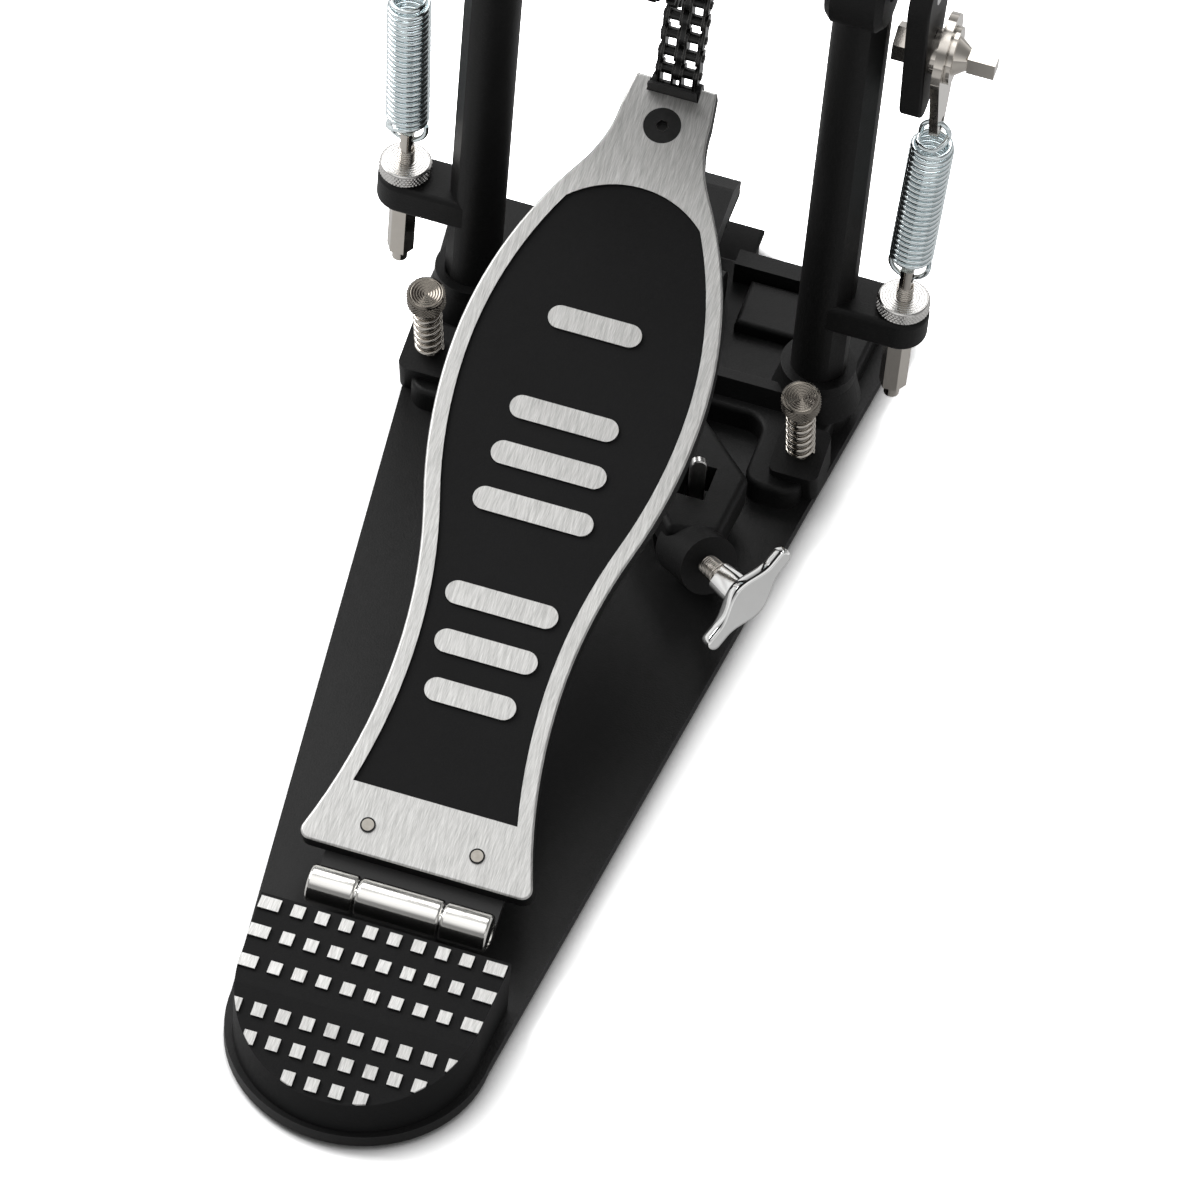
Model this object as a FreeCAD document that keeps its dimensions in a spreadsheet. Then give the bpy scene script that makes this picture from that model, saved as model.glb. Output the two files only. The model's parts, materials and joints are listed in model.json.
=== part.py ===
import FreeCAD
import Part
import math
import os
import Sketcher
from FreeCAD import Placement, Rotation, Vector

# Main unit of a double bass drum pedal, in millimetres.
# X runs across the pedal, Y towards the drum and Z up. The origin lies on the floor,
# under the middle of the two posts that carry the beater shafts.

# Driving dimensions, one sheet cell each.
SIZES = {
    # Fits and overruns shared by all pieces
    "cut_overrun": 1.0,
    "fixed_fit": 0.02,
    "running_fit": 0.05,
    "moving_gap": 0.3,
    # Base plate and the rubber sheet under it
    "underlay_thickness": 2.0,
    "underlay_inset": 3.0,
    "base_thickness": 4.0,
    "base_front_reach": 44.0,
    "base_front_width": 143.8,
    "base_rear_back": 20.0,
    "base_rear_width": 75.2,
    "lip_width": 40.0,
    "lip_length": 18.0,
    "hoop_pad_thickness": 2.0,
    # Screws that hold the castings from below
    "base_screw_diameter": 5.0,
    "base_screw_head": 9.0,
    "base_screw_head_depth": 2.2,
    "base_screw_grip": 6.0,
    "pedestal_screw_span": 76.0,
    "pedestal_screw_front": 27.0,
    "pedestal_screw_rear": 7.0,
    "heel_screw_span": 40.0,
    "heel_screw_back": 20.0,
    # Pedestal casting
    "deck_thickness": 8.0,
    "deck_edge": 1.6,
    "deck_front": 42.0,
    "deck_front_width": 130.0,
    "deck_rear": 41.0,
    "deck_rear_width": 119.0,
    "deck_bay_front": 15.0,
    "deck_bay_width": 86.0,
    "deck_corner": 6.0,
    "collar_diameter": 22.4,
    "collar_height": 21.0,
    "flare_diameter": 27.0,
    "flare_height": 9.0,
    "ear_span": 36.0,
    "ear_thickness": 5.0,
    "ear_diameter": 15.0,
    "wall_thickness": 6.0,
    "wall_height": 8.0,
    "pocket_pad_length": 20.0,
    "pocket_pad_width": 18.0,
    "pocket_pad_height": 4.5,
    "pocket_pad_edge": 1.5,
    "pocket_pad_across": 34.0,
    "pocket_pad_forward": 23.0,
    "brace_width": 7.0,
    "brace_top_width": 3.5,
    "brace_height": 6.5,
    # Posts with their bearing housings and spring arms
    "post_spacing": 106.8,
    "post_diameter": 16.6,
    "post_foot_gap": 2.0,
    "post_flat_width": 5.6,
    "post_flat_turn": 38.0,
    "housing_diameter": 34.0,
    "housing_width": 17.0,
    "housing_corner": 2.0,
    "bearing_diameter": 22.0,
    "bearing_width": 8.0,
    "shaft_way_diameter": 15.4,
    "spring_arm_reach": 22.6,
    "spring_arm_width": 16.0,
    "spring_arm_height": 10.5,
    "spring_arm_top": 60.0,
    "spring_arm_corner": 1.6,
    # Spring tension rods and their nuts
    "rod_diameter": 4.6,
    "rod_top": 77.0,
    "rod_eye_drop": 3.6,
    "rod_eye_diameter": 3.2,
    "rod_foot": 23.0,
    "rod_flat_width": 3.6,
    "rod_flat_length": 9.0,
    "lock_nut_diameter": 15.2,
    "lock_nut_height": 4.6,
    "lock_nut_chamfer": 0.6,
    "tension_nut_width": 7.2,
    "tension_nut_length": 22.0,
    # Return springs
    "spring_diameter": 12.1,
    "spring_wire": 1.6,
    "spring_hook_neck": 3.0,
    # Spur screws at the sides of the casting
    "spur_span": 113.8,
    "spur_head_back": 37.7,
    "spur_head_top": 53.2,
    "spur_tilt": 14.5,
    "spur_head_diameter": 11.2,
    "spur_head_height": 6.0,
    "spur_head_chamfer": 0.7,
    "spur_head_rim": 0.5,
    "spur_head_dish": 0.9,
    "spur_diameter": 5.0,
    "spur_tip_length": 5.0,
    "spur_floor_gap": 1.0,
    "spur_boss_width": 15.0,
    "spur_boss_corner": 2.5,
    "spur_boss_depth": 17.0,
    "spur_boss_drop": 34.5,
    "spur_spring_diameter": 8.9,
    "spur_spring_wire": 1.2,
    # Footboard
    "board_tip_forward": 10.0872,
    "board_thickness": 6.0,
    "board_slope": 22.0,
    "board_heel_reach": 218.0,
    "board_heel_height": 24.0,
    "board_heel_width": 70.4,
    "board_waist_width": 48.6,
    "board_waist_along": 60.0,
    "board_broad_width": 75.8,
    "board_broad_along": 150.0,
    "board_neck_width": 27.0,
    "board_neck_back": 10.0,
    "board_tip_width": 24.4,
    "board_border": 4.8,
    "board_heel_band": 20.0,
    "board_field_back": 34.0,
    "board_field_radius": 29.0,
    "board_field_depth": 0.8,
    "board_edge": 0.8,
    "board_heel_corner": 3.0,
    "tip_slot_width": 15.4,
    "tip_slot_depth": 4.6,
    "grip_bar_width": 7.0,
    "grip_bar_first": 52.0,
    "grip_bar_step": 14.5,
    "chain_screw_back": 14.0,
    "chain_screw_head": 11.0,
    "chain_screw_diameter": 5.0,
    "chain_screw_head_depth": 3.0,
    "chain_screw_socket": 3.2,
    "chain_screw_socket_depth": 2.1,
    "chain_screw_rim": 1.0,
    # Heel hinge
    "hinge_behind_board": 11.3,
    "hinge_height": 20.0,
    "hinge_diameter": 9.8,
    "hinge_width": 52.4,
    "hinge_centre_width": 24.4,
    "hinge_knuckle_gap": 0.4,
    "hinge_pin_diameter": 5.0,
    "hinge_leaf_thickness": 2.0,
    "hinge_leaf_reach": 24.0,
    "hinge_block_depth": 9.0,
    "rivet_span": 32.0,
    "rivet_along": 8.6,
    "rivet_diameter": 4.4,
    "rivet_proud": 0.5,
    # Heel plate
    "heel_behind_hinge": 12.7,
    "heel_front_width": 72.6,
    "heel_straight": 21.0,
    "heel_rear_width": 70.0,
    "heel_front_height": 20.6,
    "heel_crease_back": 30.0,
    "heel_crease_height": 18.4,
    "heel_rear_height": 11.6,
    "dot_pitch": 7.0,
    "dot_width": 3.5,
    "dot_length": 4.0,
    "dot_height": 0.8,
    "dot_end_width": 6.0,
    "dot_row_a": 3.4,
    "dot_row_b": 12.8,
    "dot_row_c": 23.0,
    "dot_row_d": 36.4,
    "dot_row_e": 44.6,
    "dot_row_f": 52.6,
    # Roller chain of two strands, and its sprocket
    "chain_pitch": 6.35,
    "chain_strand_pitch": 6.4,
    "chain_roller_diameter": 3.3,
    "chain_inner_width": 3.18,
    "chain_plate_thickness": 0.75,
    "chain_plate_gap": 0.1,
    "chain_plate_height": 5.6,
    "chain_plate_waist": 4.5,
    "chain_plate_wrap": 105.0,
    "chain_pin_diameter": 2.3,
    "chain_pin_proud": 0.8,
    "chain_anchor_back": 0.8,
    "chain_anchor_drop": 3.0,
    "anchor_ear_thickness": 1.6,
    "anchor_ear_diameter": 6.4,
    "anchor_strap_thickness": 2.2,
    "anchor_strap_length": 18.0,
    "sprocket_tooth_rise": 0.5,
    "sprocket_seat_gap": 0.5,
    "sprocket_tooth_width": 2.4,
    "sprocket_core_diameter": 41.6,
    "sprocket_core_width": 10.4,
    "sprocket_hub_diameter": 20.0,
    # Shafts, cranks and rockers
    "shaft_diameter": 10.0,
    "spigot_diameter": 7.0,
    "spigot_length": 17.0,
    "linkage_shoulder": 2.0,
    "linkage_stub_diameter": 9.0,
    "linkage_stub_length": 24.0,
    "crank_gap": 6.4,
    "crank_thickness": 6.5,
    "crank_hub_diameter": 27.0,
    "crank_end_diameter": 15.0,
    "crank_end_drop": 42.5,
    "crank_slot_width": 6.4,
    "crank_slot_length": 15.0,
    "crank_edge": 0.8,
    "rocker_drop": 25.0,
    "rocker_gap": 2.4,
    "rocker_thickness": 2.6,
    "rocker_diameter": 24.0,
    "rocker_tip_diameter": 8.6,
    "rocker_tip_drop": 28.0,
    "rocker_eye_diameter": 4.2,
    "rocker_bolt_diameter": 6.0,
    "rocker_sleeve_diameter": 10.0,
    "rocker_washer_diameter": 17.0,
    "rocker_washer_thickness": 1.6,
    "rocker_collar_diameter": 13.6,
    "rocker_cone_diameter": 11.9,
    "rocker_cone_tip_diameter": 6.6,
    "rocker_cone_length": 3.6,
    "rocker_square": 5.6,
    "rocker_square_length": 8.0,
    "rocker_nut_width": 10.0,
    "rocker_nut_thickness": 4.6,
    # Beaters and the hubs that hold them
    "beater_spacing": 56.0,
    "beater_tilt": 35.0,
    "hub_diameter": 23.0,
    "hub_width": 18.0,
    "hub_boss_diameter": 17.0,
    "hub_boss_length": 36.0,
    "hub_socket_floor": 10.0,
    "hub_screw_diameter": 5.0,
    "hub_screw_square": 5.6,
    "hub_screw_along": 26.0,
    "hub_screw_head": 9.0,
    "hub_screw_stand_off": 3.0,
    "beater_rod_diameter": 8.0,
    "beater_rod_length": 172.0,
    "beater_head_diameter": 46.0,
    "beater_head_length": 44.0,
    "beater_head_round": 7.0,
    "beater_head_centre": 150.0,
    # Hoop clamp lever with its wing screw
    "clamp_pin_diameter": 6.0,
    "clamp_pin_forward": 18.0,
    "clamp_pin_height": 23.0,
    "lever_thickness": 11.0,
    "lever_deck_gap": 1.3,
    "lever_corner": 2.75,
    "lever_edge": 2.2,
    "lever_width": 23.0,
    "lever_jaw_reach": 60.0,
    "lever_jaw_height": 9.0,
    "lever_jaw_lift": 18.0,
    "lever_jaw_corner": 2.25,
    "jaw_pad_thickness": 3.0,
    "jaw_pad_length": 14.0,
    "jaw_pad_edge": 1.0,
    "lever_boss_diameter": 18.0,
    "lever_boss_length": 17.0,
    "wing_entry_across": 45.0,
    "wing_entry_back": 82.0,
    "wing_entry_height": 22.0,
    "wing_turn_right": 43.2,
    "wing_rise": 24.9,
    "wing_thread_diameter": 6.4,
    "wing_reach_in": 26.0,
    "wing_tip_diameter": 4.0,
    "wing_roll": 38.3,
    "wing_stand_off": 11.0,
    "wing_hub_diameter": 12.6,
    "wing_hub_length": 13.0,
    "wing_span": 36.0,
    "wing_tip_width": 7.6,
    "wing_waist_width": 15.6,
    "wing_waist_length": 9.0,
    "wing_flank_radius": 17.0,
    "wing_thickness": 6.0,
    "wing_edge": 1.2,
    "foot_diameter": 9.0,
    "foot_length": 3.4,
    "foot_face_diameter": 7.2,
    "foot_chamfer": 0.85,
    "ramp_width": 11.0,
    "ramp_depth": 16.0,
    "ramp_height": 8.5,
    "guide_post_diameter": 5.6,
    "guide_post_height": 30.0,
    "guide_across": 33.0,
    "guide_back": 56.0,
    "guide_slot_width": 8.6,
    "guide_slot_length": 13.0,
}

# Counts that no length changes.
RUN_LINKS = 12
WRAP_LINKS = 9
FREE_LINKS = 3
SPROCKET_TEETH = 24
RETURN_TURNS = 24
RETURN_TAPER_TURNS = 1.5
# Part of a turn over which a coil's direction is read, and stations between the stretches of wire compared.
TURN_STEP = 1e-4
SKIPPED_STATION_COUNT = 12
COMPARED_STATION_COUNT = 96
SPUR_TURNS = 7
# Squares in each row of the heel plate; the first three rows end in a wide one.
DOT_ROWS = {"dot_row_a": 10, "dot_row_b": 10, "dot_row_c": 10,
            "dot_row_d": 10, "dot_row_e": 8, "dot_row_f": 4}
WIDE_ROWS = ("dot_row_a", "dot_row_b", "dot_row_c")

# Shares of the sizes that they follow.
RETURN_TAPER_SHARE = 0.72
GRIP_BAR_SHARES = (0.55, 0.62, 0.68, 0.0, 0.73, 0.70, 0.66, 0.0, 0.57)
NECK_RADIUS_SHARE = 0.25
WAIST_RADIUS_SHARE = 0.5
BEARING_RACE_SHARE = 0.25
BEARING_STEP_SHARE = 0.125
LEVER_FLANK_SHARES = (0.6, 0.4, 0.8)

doc = FreeCAD.newDocument("DrumPedal")
sheet = doc.addObject("Spreadsheet::Sheet", "Size")
for row, (alias, number) in enumerate(SIZES.items(), start=1):
    sheet.set(f"A{row}", alias)
    sheet.set(f"B{row}", str(number))
    sheet.setAlias(f"B{row}", alias)
doc.recompute()


class Dim:
    """A number, together with the sheet expression that gives it."""

    def __init__(self, value, text):
        self.value = value
        self.text = text

    def __add__(self, other):
        other = dim(other)
        return Dim(self.value + other.value, f"({self.text} + {other.text})")

    def __sub__(self, other):
        other = dim(other)
        return Dim(self.value - other.value, f"({self.text} - {other.text})")

    def __mul__(self, other):
        other = dim(other)
        return Dim(self.value * other.value, f"({self.text} * {other.text})")

    def __truediv__(self, other):
        other = dim(other)
        return Dim(self.value / other.value, f"({self.text} / {other.text})")

    def __neg__(self):
        return Dim(-self.value, f"(0 - {self.text})")

    def __radd__(self, other):
        return dim(other) + self

    def __rsub__(self, other):
        return dim(other) - self

    def __rmul__(self, other):
        return dim(other) * self


def dim(number):
    return number if isinstance(number, Dim) else Dim(float(number), repr(float(number)))


def size(name):
    return Dim(float(sheet.get(name)), f"Size.{name}")


def sine(degrees):
    return Dim(math.sin(math.radians(degrees.value)), f"sin({degrees.text} * 1 deg)")


def cosine(degrees):
    return Dim(math.cos(math.radians(degrees.value)), f"cos({degrees.text} * 1 deg)")


def root(number):
    return Dim(math.sqrt(number.value), f"sqrt({number.text})")


def bind(part, field, number):
    """Set a property, and keep it tied to the sheet."""
    number = dim(number)
    part.setExpression(field, number.text)


OVER = size("cut_overrun")
BASE_TOP = size("underlay_thickness") + size("base_thickness")
DECK_TOP = BASE_TOP + size("deck_thickness")
SIDES = {"left": -1, "right": 1}

# Turns that carry a piece's own Z axis to a row axis, and a side view's XY to YZ.
ALONG_X = Rotation(Vector(0, 1, 0), 90)
SIDE_VIEW = Rotation(Vector(1, 1, 1), 120)


def place(part, at=(0, 0, 0), turn=None, tilt=None):
    """Put a part somewhere. A tilt is an axis and an angle from the sheet."""
    at = [dim(number) for number in at]
    if tilt:
        axis, angle = tilt
        turn = Rotation(axis, angle.value)
    part.Placement = Placement(Vector(*[number.value for number in at]), turn or Rotation())
    for letter, number in zip("xyz", at):
        bind(part, f"Placement.Base.{letter}", number)
    if tilt:
        part.setExpression("Placement.Rotation.Angle", f"{angle.text} * 1 deg")
    return part


def cylinder(name, diameter, length, at=(0, 0, 0), turn=None):
    part = doc.addObject("Part::Cylinder", name)
    bind(part, "Radius", diameter / 2)
    bind(part, "Height", length)
    return place(part, at, turn)


def cone(name, low_diameter, high_diameter, length, at=(0, 0, 0), turn=None):
    part = doc.addObject("Part::Cone", name)
    bind(part, "Radius1", low_diameter / 2)
    bind(part, "Radius2", high_diameter / 2)
    bind(part, "Height", length)
    return place(part, at, turn)


def box(name, length, width, height, at=(0, 0, 0), turn=None):
    """A block centred on at in X and Y, and standing on it."""
    part = doc.addObject("Part::Box", name)
    bind(part, "Length", length)
    bind(part, "Width", width)
    bind(part, "Height", height)
    across, along, up = at
    return place(part, (across - dim(length) / 2, along - dim(width) / 2, up), turn)


def fuse(name, parts, refine=True):
    part = doc.addObject("Part::MultiFuse", name)
    part.Shapes = list(parts)
    part.Refine = refine
    return part


def cut(name, base, tools):
    tools = list(tools)
    part = doc.addObject("Part::Cut", name)
    part.Base = base
    part.Tool = tools[0] if len(tools) == 1 else fuse(name + "_tools", tools)
    part.Refine = True
    return part


def origin_plane(body, role):
    return next(item for item in body.Origin.OriginFeatures if item.Role == role)


def fix_point(sketch, geometry, end, across, up):
    """Tie a sketch point to the sheet, or to the sketch's axes where it lies on them."""
    for kind, axis, number in (("DistanceX", -2, dim(across)), ("DistanceY", -1, dim(up))):
        if number.text in ("0.0", "-0.0"):
            sketch.addConstraint(Sketcher.Constraint("PointOnObject", geometry, end, axis))
            continue
        index = sketch.addConstraint(Sketcher.Constraint(kind, geometry, end, number.value))
        sketch.setExpression(f"Constraints[{index}]", number.text)


def trace(sketch, corners):
    """Draw a closed outline. A corner's third value makes the side after it an arc of that radius,
    bulging to the right of the way along it, or to the left where the radius is negative."""
    corners = [(dim(corner[0]), dim(corner[1]), corner[2] if len(corner) > 2 else None) for corner in corners]
    spots = [Vector(across.value, up.value, 0) for across, up, radius in corners]
    ends = []
    for index, (across, up, radius) in enumerate(corners):
        here = spots[index]
        there = spots[(index + 1) % len(spots)]
        if radius is None:
            geometry = sketch.addGeometry(Part.LineSegment(here, there))
            ends.append((geometry, 1, 2))
            continue
        chord = there - here
        left = Vector(-chord.y, chord.x, 0).normalize()
        sag = math.sqrt(max(radius.value**2 - (chord.Length / 2) ** 2, 0))
        sign = math.copysign(1, radius.value)
        centre = (here + there) / 2 + left * sag * sign
        first, last = (here, there) if sign > 0 else (there, here)
        start = math.atan2(first.y - centre.y, first.x - centre.x)
        stop = math.atan2(last.y - centre.y, last.x - centre.x)
        circle = Part.Circle(centre, Vector(0, 0, 1), abs(radius.value))
        geometry = sketch.addGeometry(Part.ArcOfCircle(circle, start, stop))
        ends.append((geometry, 1, 2) if sign > 0 else (geometry, 2, 1))
    for index, (geometry, start, stop) in enumerate(ends):
        after, after_start, after_stop = ends[(index + 1) % len(ends)]
        sketch.addConstraint(Sketcher.Constraint("Coincident", geometry, stop, after, after_start))
    for (geometry, start, stop), (across, up, radius) in zip(ends, corners):
        fix_point(sketch, geometry, start, across, up)
        if radius is not None:
            item = sketch.addConstraint(Sketcher.Constraint("Radius", geometry, abs(radius.value)))
            sketch.setExpression(f"Constraints[{item}]", f"abs({radius.text})")


def add_sketch(body, name, role, corners, holes=()):
    sketch = body.newObject("Sketcher::SketchObject", name)
    sketch.AttachmentSupport = [(origin_plane(body, role), "")]
    sketch.MapMode = "FlatFace"
    if corners:
        trace(sketch, corners)
    for across, up, diameter in holes:
        centre = Vector(dim(across).value, dim(up).value, 0)
        geometry = sketch.addGeometry(Part.Circle(centre, Vector(0, 0, 1), diameter.value / 2))
        fix_point(sketch, geometry, 3, across, up)
        item = sketch.addConstraint(Sketcher.Constraint("Radius", geometry, diameter.value / 2))
        sketch.setExpression(f"Constraints[{item}]", (diameter / 2).text)
    return sketch


def plate(name, corners, thickness, holes=(), at=(0, 0, 0), turn=None):
    """A padded outline, with round holes through it."""
    body = doc.addObject("PartDesign::Body", name)
    sketch = add_sketch(body, name + "_outline", "XY_Plane", corners, holes)
    pad = body.newObject("PartDesign::Pad", name + "_pad")
    pad.Profile = sketch
    bind(pad, "Length", thickness)
    body.Tip = pad
    return place(body, at, turn)


def lathe(name, profile, at=(0, 0, 0), turn=None):
    """A turned piece: a profile of radius and height, swung round its own Z axis."""
    body = doc.addObject("PartDesign::Body", name)
    sketch = add_sketch(body, name + "_profile", "XZ_Plane", profile)
    swing = body.newObject("PartDesign::Revolution", name + "_swing")
    swing.Profile = sketch
    swing.ReferenceAxis = (sketch, ["V_Axis"])
    swing.Angle = 360
    body.Tip = swing
    return place(body, at, turn)


def soften(body, radius, wanted):
    """Round the edges of a body's last feature that wanted picks out."""
    doc.recompute()
    last = body.Tip
    names = [f"Edge{n}" for n, edge in enumerate(last.Shape.Edges, start=1) if wanted(edge)]
    fillet = body.newObject("PartDesign::Fillet", body.Name + "_fillet" + str(len(body.Group)))
    fillet.Base = (last, names)
    bind(fillet, "Radius", radius)
    body.Tip = fillet
    return body


def upright(edge):
    """Whether an edge runs along its body's own Z axis."""
    ends = [vertex.Point for vertex in edge.Vertexes]
    if len(ends) != 2:
        return False
    return math.hypot(ends[0].x - ends[1].x, ends[0].y - ends[1].y) < Part.Precision.confusion()


def at_height(*heights):
    """A test for edges that lie flat at one of these heights of their body."""
    def wanted(edge):
        box_of_edge = edge.BoundBox
        flat = box_of_edge.ZLength < Part.Precision.approximation()
        near = [abs(box_of_edge.ZMax - dim(z).value) < Part.Precision.approximation() for z in heights]
        return flat and any(near)
    return wanted


def hexagon(width):
    """Corners of a hexagon of that width across its flats."""
    reach = width / root(dim(3))
    return [(reach, 0), (reach / 2, width / 2), (-reach / 2, width / 2), (-reach, 0),
            (-reach / 2, -width / 2), (reach / 2, -width / 2)]


def rectangle(length, width, middle=(0, 0)):
    across, up = middle
    return [(across - length / 2, up - width / 2), (across + length / 2, up - width / 2),
            (across + length / 2, up + width / 2), (across - length / 2, up + width / 2)]


def capsule(length, width):
    """A bar with round ends, along X, as quarter circles and two straight sides."""
    reach = length / 2 - width / 2
    return [(-reach, -width / 2), (reach, -width / 2, width / 2), (length / 2, 0, width / 2),
            (reach, width / 2), (-reach, width / 2, width / 2), (-length / 2, 0, width / 2)]


def lever_outline(top_diameter, low_diameter, drop):
    """A flat lever hanging from its own origin: a large round end, straight flanks, a small one."""
    top = top_diameter / 2
    low = low_diameter / 2
    lean = (top - low) / drop
    flank = root(1 - lean * lean)
    return [(-top * flank, -top * lean), (-low * flank, -drop - low * lean, low),
            (0, -drop - low, low), (low * flank, -drop - low * lean), (top * flank, -top * lean, top),
            (0, top, top)]


def solid_piece(name, shape, at=None):
    """A piece whose shape no sketch or primitive gives, worked out from the sheet."""
    part = doc.addObject("Part::Feature", name)
    part.Shape = shape
    part.Placement = at or Placement()
    return part


pieces = []


def keep(part, label):
    """Hand in a part as a sub-part of its own."""
    part.Label = label
    pieces.append(part)
    return part


# Places that several pieces share.

# The heel follows the board: the hinge behind its edge, then the heel plate, then the end of the base.
BOARD_LENGTH = (size("board_heel_reach") + size("board_tip_forward")) / cosine(size("board_slope"))
CHAIN_SCREW_ALONG = BOARD_LENGTH - size("chain_screw_back")
HINGE_REACH = size("board_heel_reach") + size("hinge_behind_board")
HEEL_FRONT = HINGE_REACH + size("heel_behind_hinge")
HEEL_REAR = HEEL_FRONT + size("heel_straight")
HEEL_CREASE = HEEL_FRONT + size("heel_crease_back")
BASE_REAR = HEEL_FRONT + size("base_rear_back")


def board_point(along, rise):
    """Y and Z of a point of the footboard, from its heel edge and above its top face."""
    slope = size("board_slope")
    back = along * cosine(slope) - rise * sine(slope) - size("board_heel_reach")
    up = along * sine(slope) + rise * cosine(slope) + size("board_heel_height")
    return back, up


ANCHOR_ALONG = BOARD_LENGTH - size("chain_anchor_back")
ANCHOR_Y, ANCHOR_Z = board_point(ANCHOR_ALONG, -size("chain_anchor_drop"))
PITCH_RADIUS = Dim(
    size("chain_pitch").value / 2 / math.sin(math.pi / SPROCKET_TEETH),
    f"({size('chain_pitch').text} / 2 / sin({180 / SPROCKET_TEETH} deg))",
)
RUN_LENGTH = size("chain_pitch") * RUN_LINKS
# The shaft stands where the straight run of chain just touches the sprocket's pitch circle.
SHAFT_Z = ANCHOR_Z + root(RUN_LENGTH * RUN_LENGTH + PITCH_RADIUS * PITCH_RADIUS - ANCHOR_Y * ANCHOR_Y)
POST_X = size("post_spacing") / 2
HOUSING_OUT = POST_X + size("housing_width") / 2
CRANK_IN = HOUSING_OUT + size("crank_gap")
CRANK_OUT = CRANK_IN + size("crank_thickness")
ROCKER_IN = CRANK_OUT + size("rocker_gap")
ROCKER_OUT = ROCKER_IN + size("rocker_thickness")
ROCKER_Z = SHAFT_Z - size("rocker_drop")
ROCKER_EYE_Z = ROCKER_Z - size("rocker_tip_drop")
ROD_X = POST_X + size("spring_arm_reach")
ROD_EYE_Z = size("rod_top") - size("rod_eye_drop")
BEATER_X = size("beater_spacing") / 2
BEATER_TILT = (Vector(1, 0, 0), size("beater_tilt"))


# Base plate, rubber underlay and the screws that come up through them

def base_outline(inset):
    front = size("base_front_reach") - inset
    half = size("base_front_width") / 2 - inset
    rear = size("base_rear_width") / 2 - inset
    reach = BASE_REAR
    lip = size("lip_width") / 2 - inset
    tip = front + size("lip_length")
    return [(half, front), (lip, front), (lip, tip), (-lip, tip), (-lip, front), (-half, front),
            (-rear, -reach, rear), (0, -reach - rear, rear), (rear, -reach)]


SCREW_SPOTS = [
    (size("pedestal_screw_span") / 2, size("pedestal_screw_front")),
    (-size("pedestal_screw_span") / 2, size("pedestal_screw_front")),
    (size("pedestal_screw_span") / 2, -size("pedestal_screw_rear")),
    (-size("pedestal_screw_span") / 2, -size("pedestal_screw_rear")),
    (size("heel_screw_span") / 2, -HEEL_FRONT - size("heel_screw_back")),
    (-size("heel_screw_span") / 2, -HEEL_FRONT - size("heel_screw_back")),
]
SCREW_TOP = BASE_TOP + size("base_screw_grip")
SPUR_X = size("spur_span") / 2
SPUR_TILT = (Vector(1, 0, 0), size("spur_tilt"))


def along_spur(drop):
    """Y and Z of a point on a spur screw's axis, below the top of its head."""
    back = drop * sine(size("spur_tilt")) - size("spur_head_back")
    return back, size("spur_head_top") - drop * cosine(size("spur_tilt"))


def spur_hole(name, sign):
    """A clearance hole for a spur screw, along the screw's tilted axis."""
    start = size("spur_boss_drop") - OVER
    length = size("spur_head_top") / cosine(size("spur_tilt"))
    back, up = along_spur(start + length)
    hole = cylinder(name, size("spur_diameter") + size("moving_gap") * 2, length)
    return place(hole, (SPUR_X * sign, back, up), tilt=SPUR_TILT)


underlay = plate("UnderlaySheet", base_outline(size("underlay_inset")), size("underlay_thickness"))
underlay_holes = [
    cylinder(f"UnderlayHole{n}", size("base_screw_head") + OVER * 2, size("underlay_thickness") + OVER * 2,
             (across, along, -OVER))
    for n, (across, along) in enumerate(SCREW_SPOTS)
]
underlay_holes += [spur_hole(f"UnderlaySpurHole{side}", sign) for side, sign in SIDES.items()]
keep(cut("Underlay", underlay, underlay_holes), "rubber_underlay")

base = plate("BaseSheet", base_outline(dim(0)), size("base_thickness"), at=(0, 0, size("underlay_thickness")))
soften(base, size("deck_corner"), lambda edge: upright(edge) and edge.Vertexes[0].Y > 0)


def screw_tool(name, across, along, room):
    """The space of one countersunk screw from below, wider by that room all round."""
    foot = size("underlay_thickness")
    shank = size("base_screw_diameter") / 2 + room
    head = size("base_screw_head") / 2 + room
    depth = size("base_screw_head_depth")
    tip = SCREW_TOP - foot + room
    profile = [(0, 0), (head, 0), (shank, depth), (shank, tip), (0, tip)]
    return lathe(name, profile, (across, along, foot))


base_holes = [screw_tool(f"BaseHole{n}", x, y, size("fixed_fit")) for n, (x, y) in enumerate(SCREW_SPOTS)]
base_holes += [spur_hole(f"BaseSpurHole{side}", sign) for side, sign in SIDES.items()]
keep(cut("BasePlate", base, base_holes), "base_plate")
screws = [screw_tool(f"BaseScrew{n}", x, y, dim(0)) for n, (x, y) in enumerate(SCREW_SPOTS)]
screw_group = doc.addObject("Part::Compound", "BaseScrews")
screw_group.Links = screws
keep(screw_group, "base_screws")

hoop_pad = plate("HoopPad", rectangle(size("lip_width"), size("lip_length")), size("hoop_pad_thickness"),
                 at=(0, size("base_front_reach") + size("lip_length") / 2, BASE_TOP))
soften(hoop_pad, size("hoop_pad_thickness") / 2, at_height(size("hoop_pad_thickness")))
keep(hoop_pad, "hoop_pad")


# Pedestal casting: deck, collars, ears for the clamp lever, ribs and spur bosses

def deck_outline():
    front = size("deck_front")
    rear = -size("deck_rear")
    bay = -size("deck_bay_front")
    wide = size("deck_front_width") / 2
    narrow = size("deck_rear_width") / 2
    inner = size("deck_bay_width") / 2
    return [(wide, front), (-wide, front), (-narrow, rear), (-inner, rear), (-inner, bay),
            (inner, bay), (inner, rear), (narrow, rear)]


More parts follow.
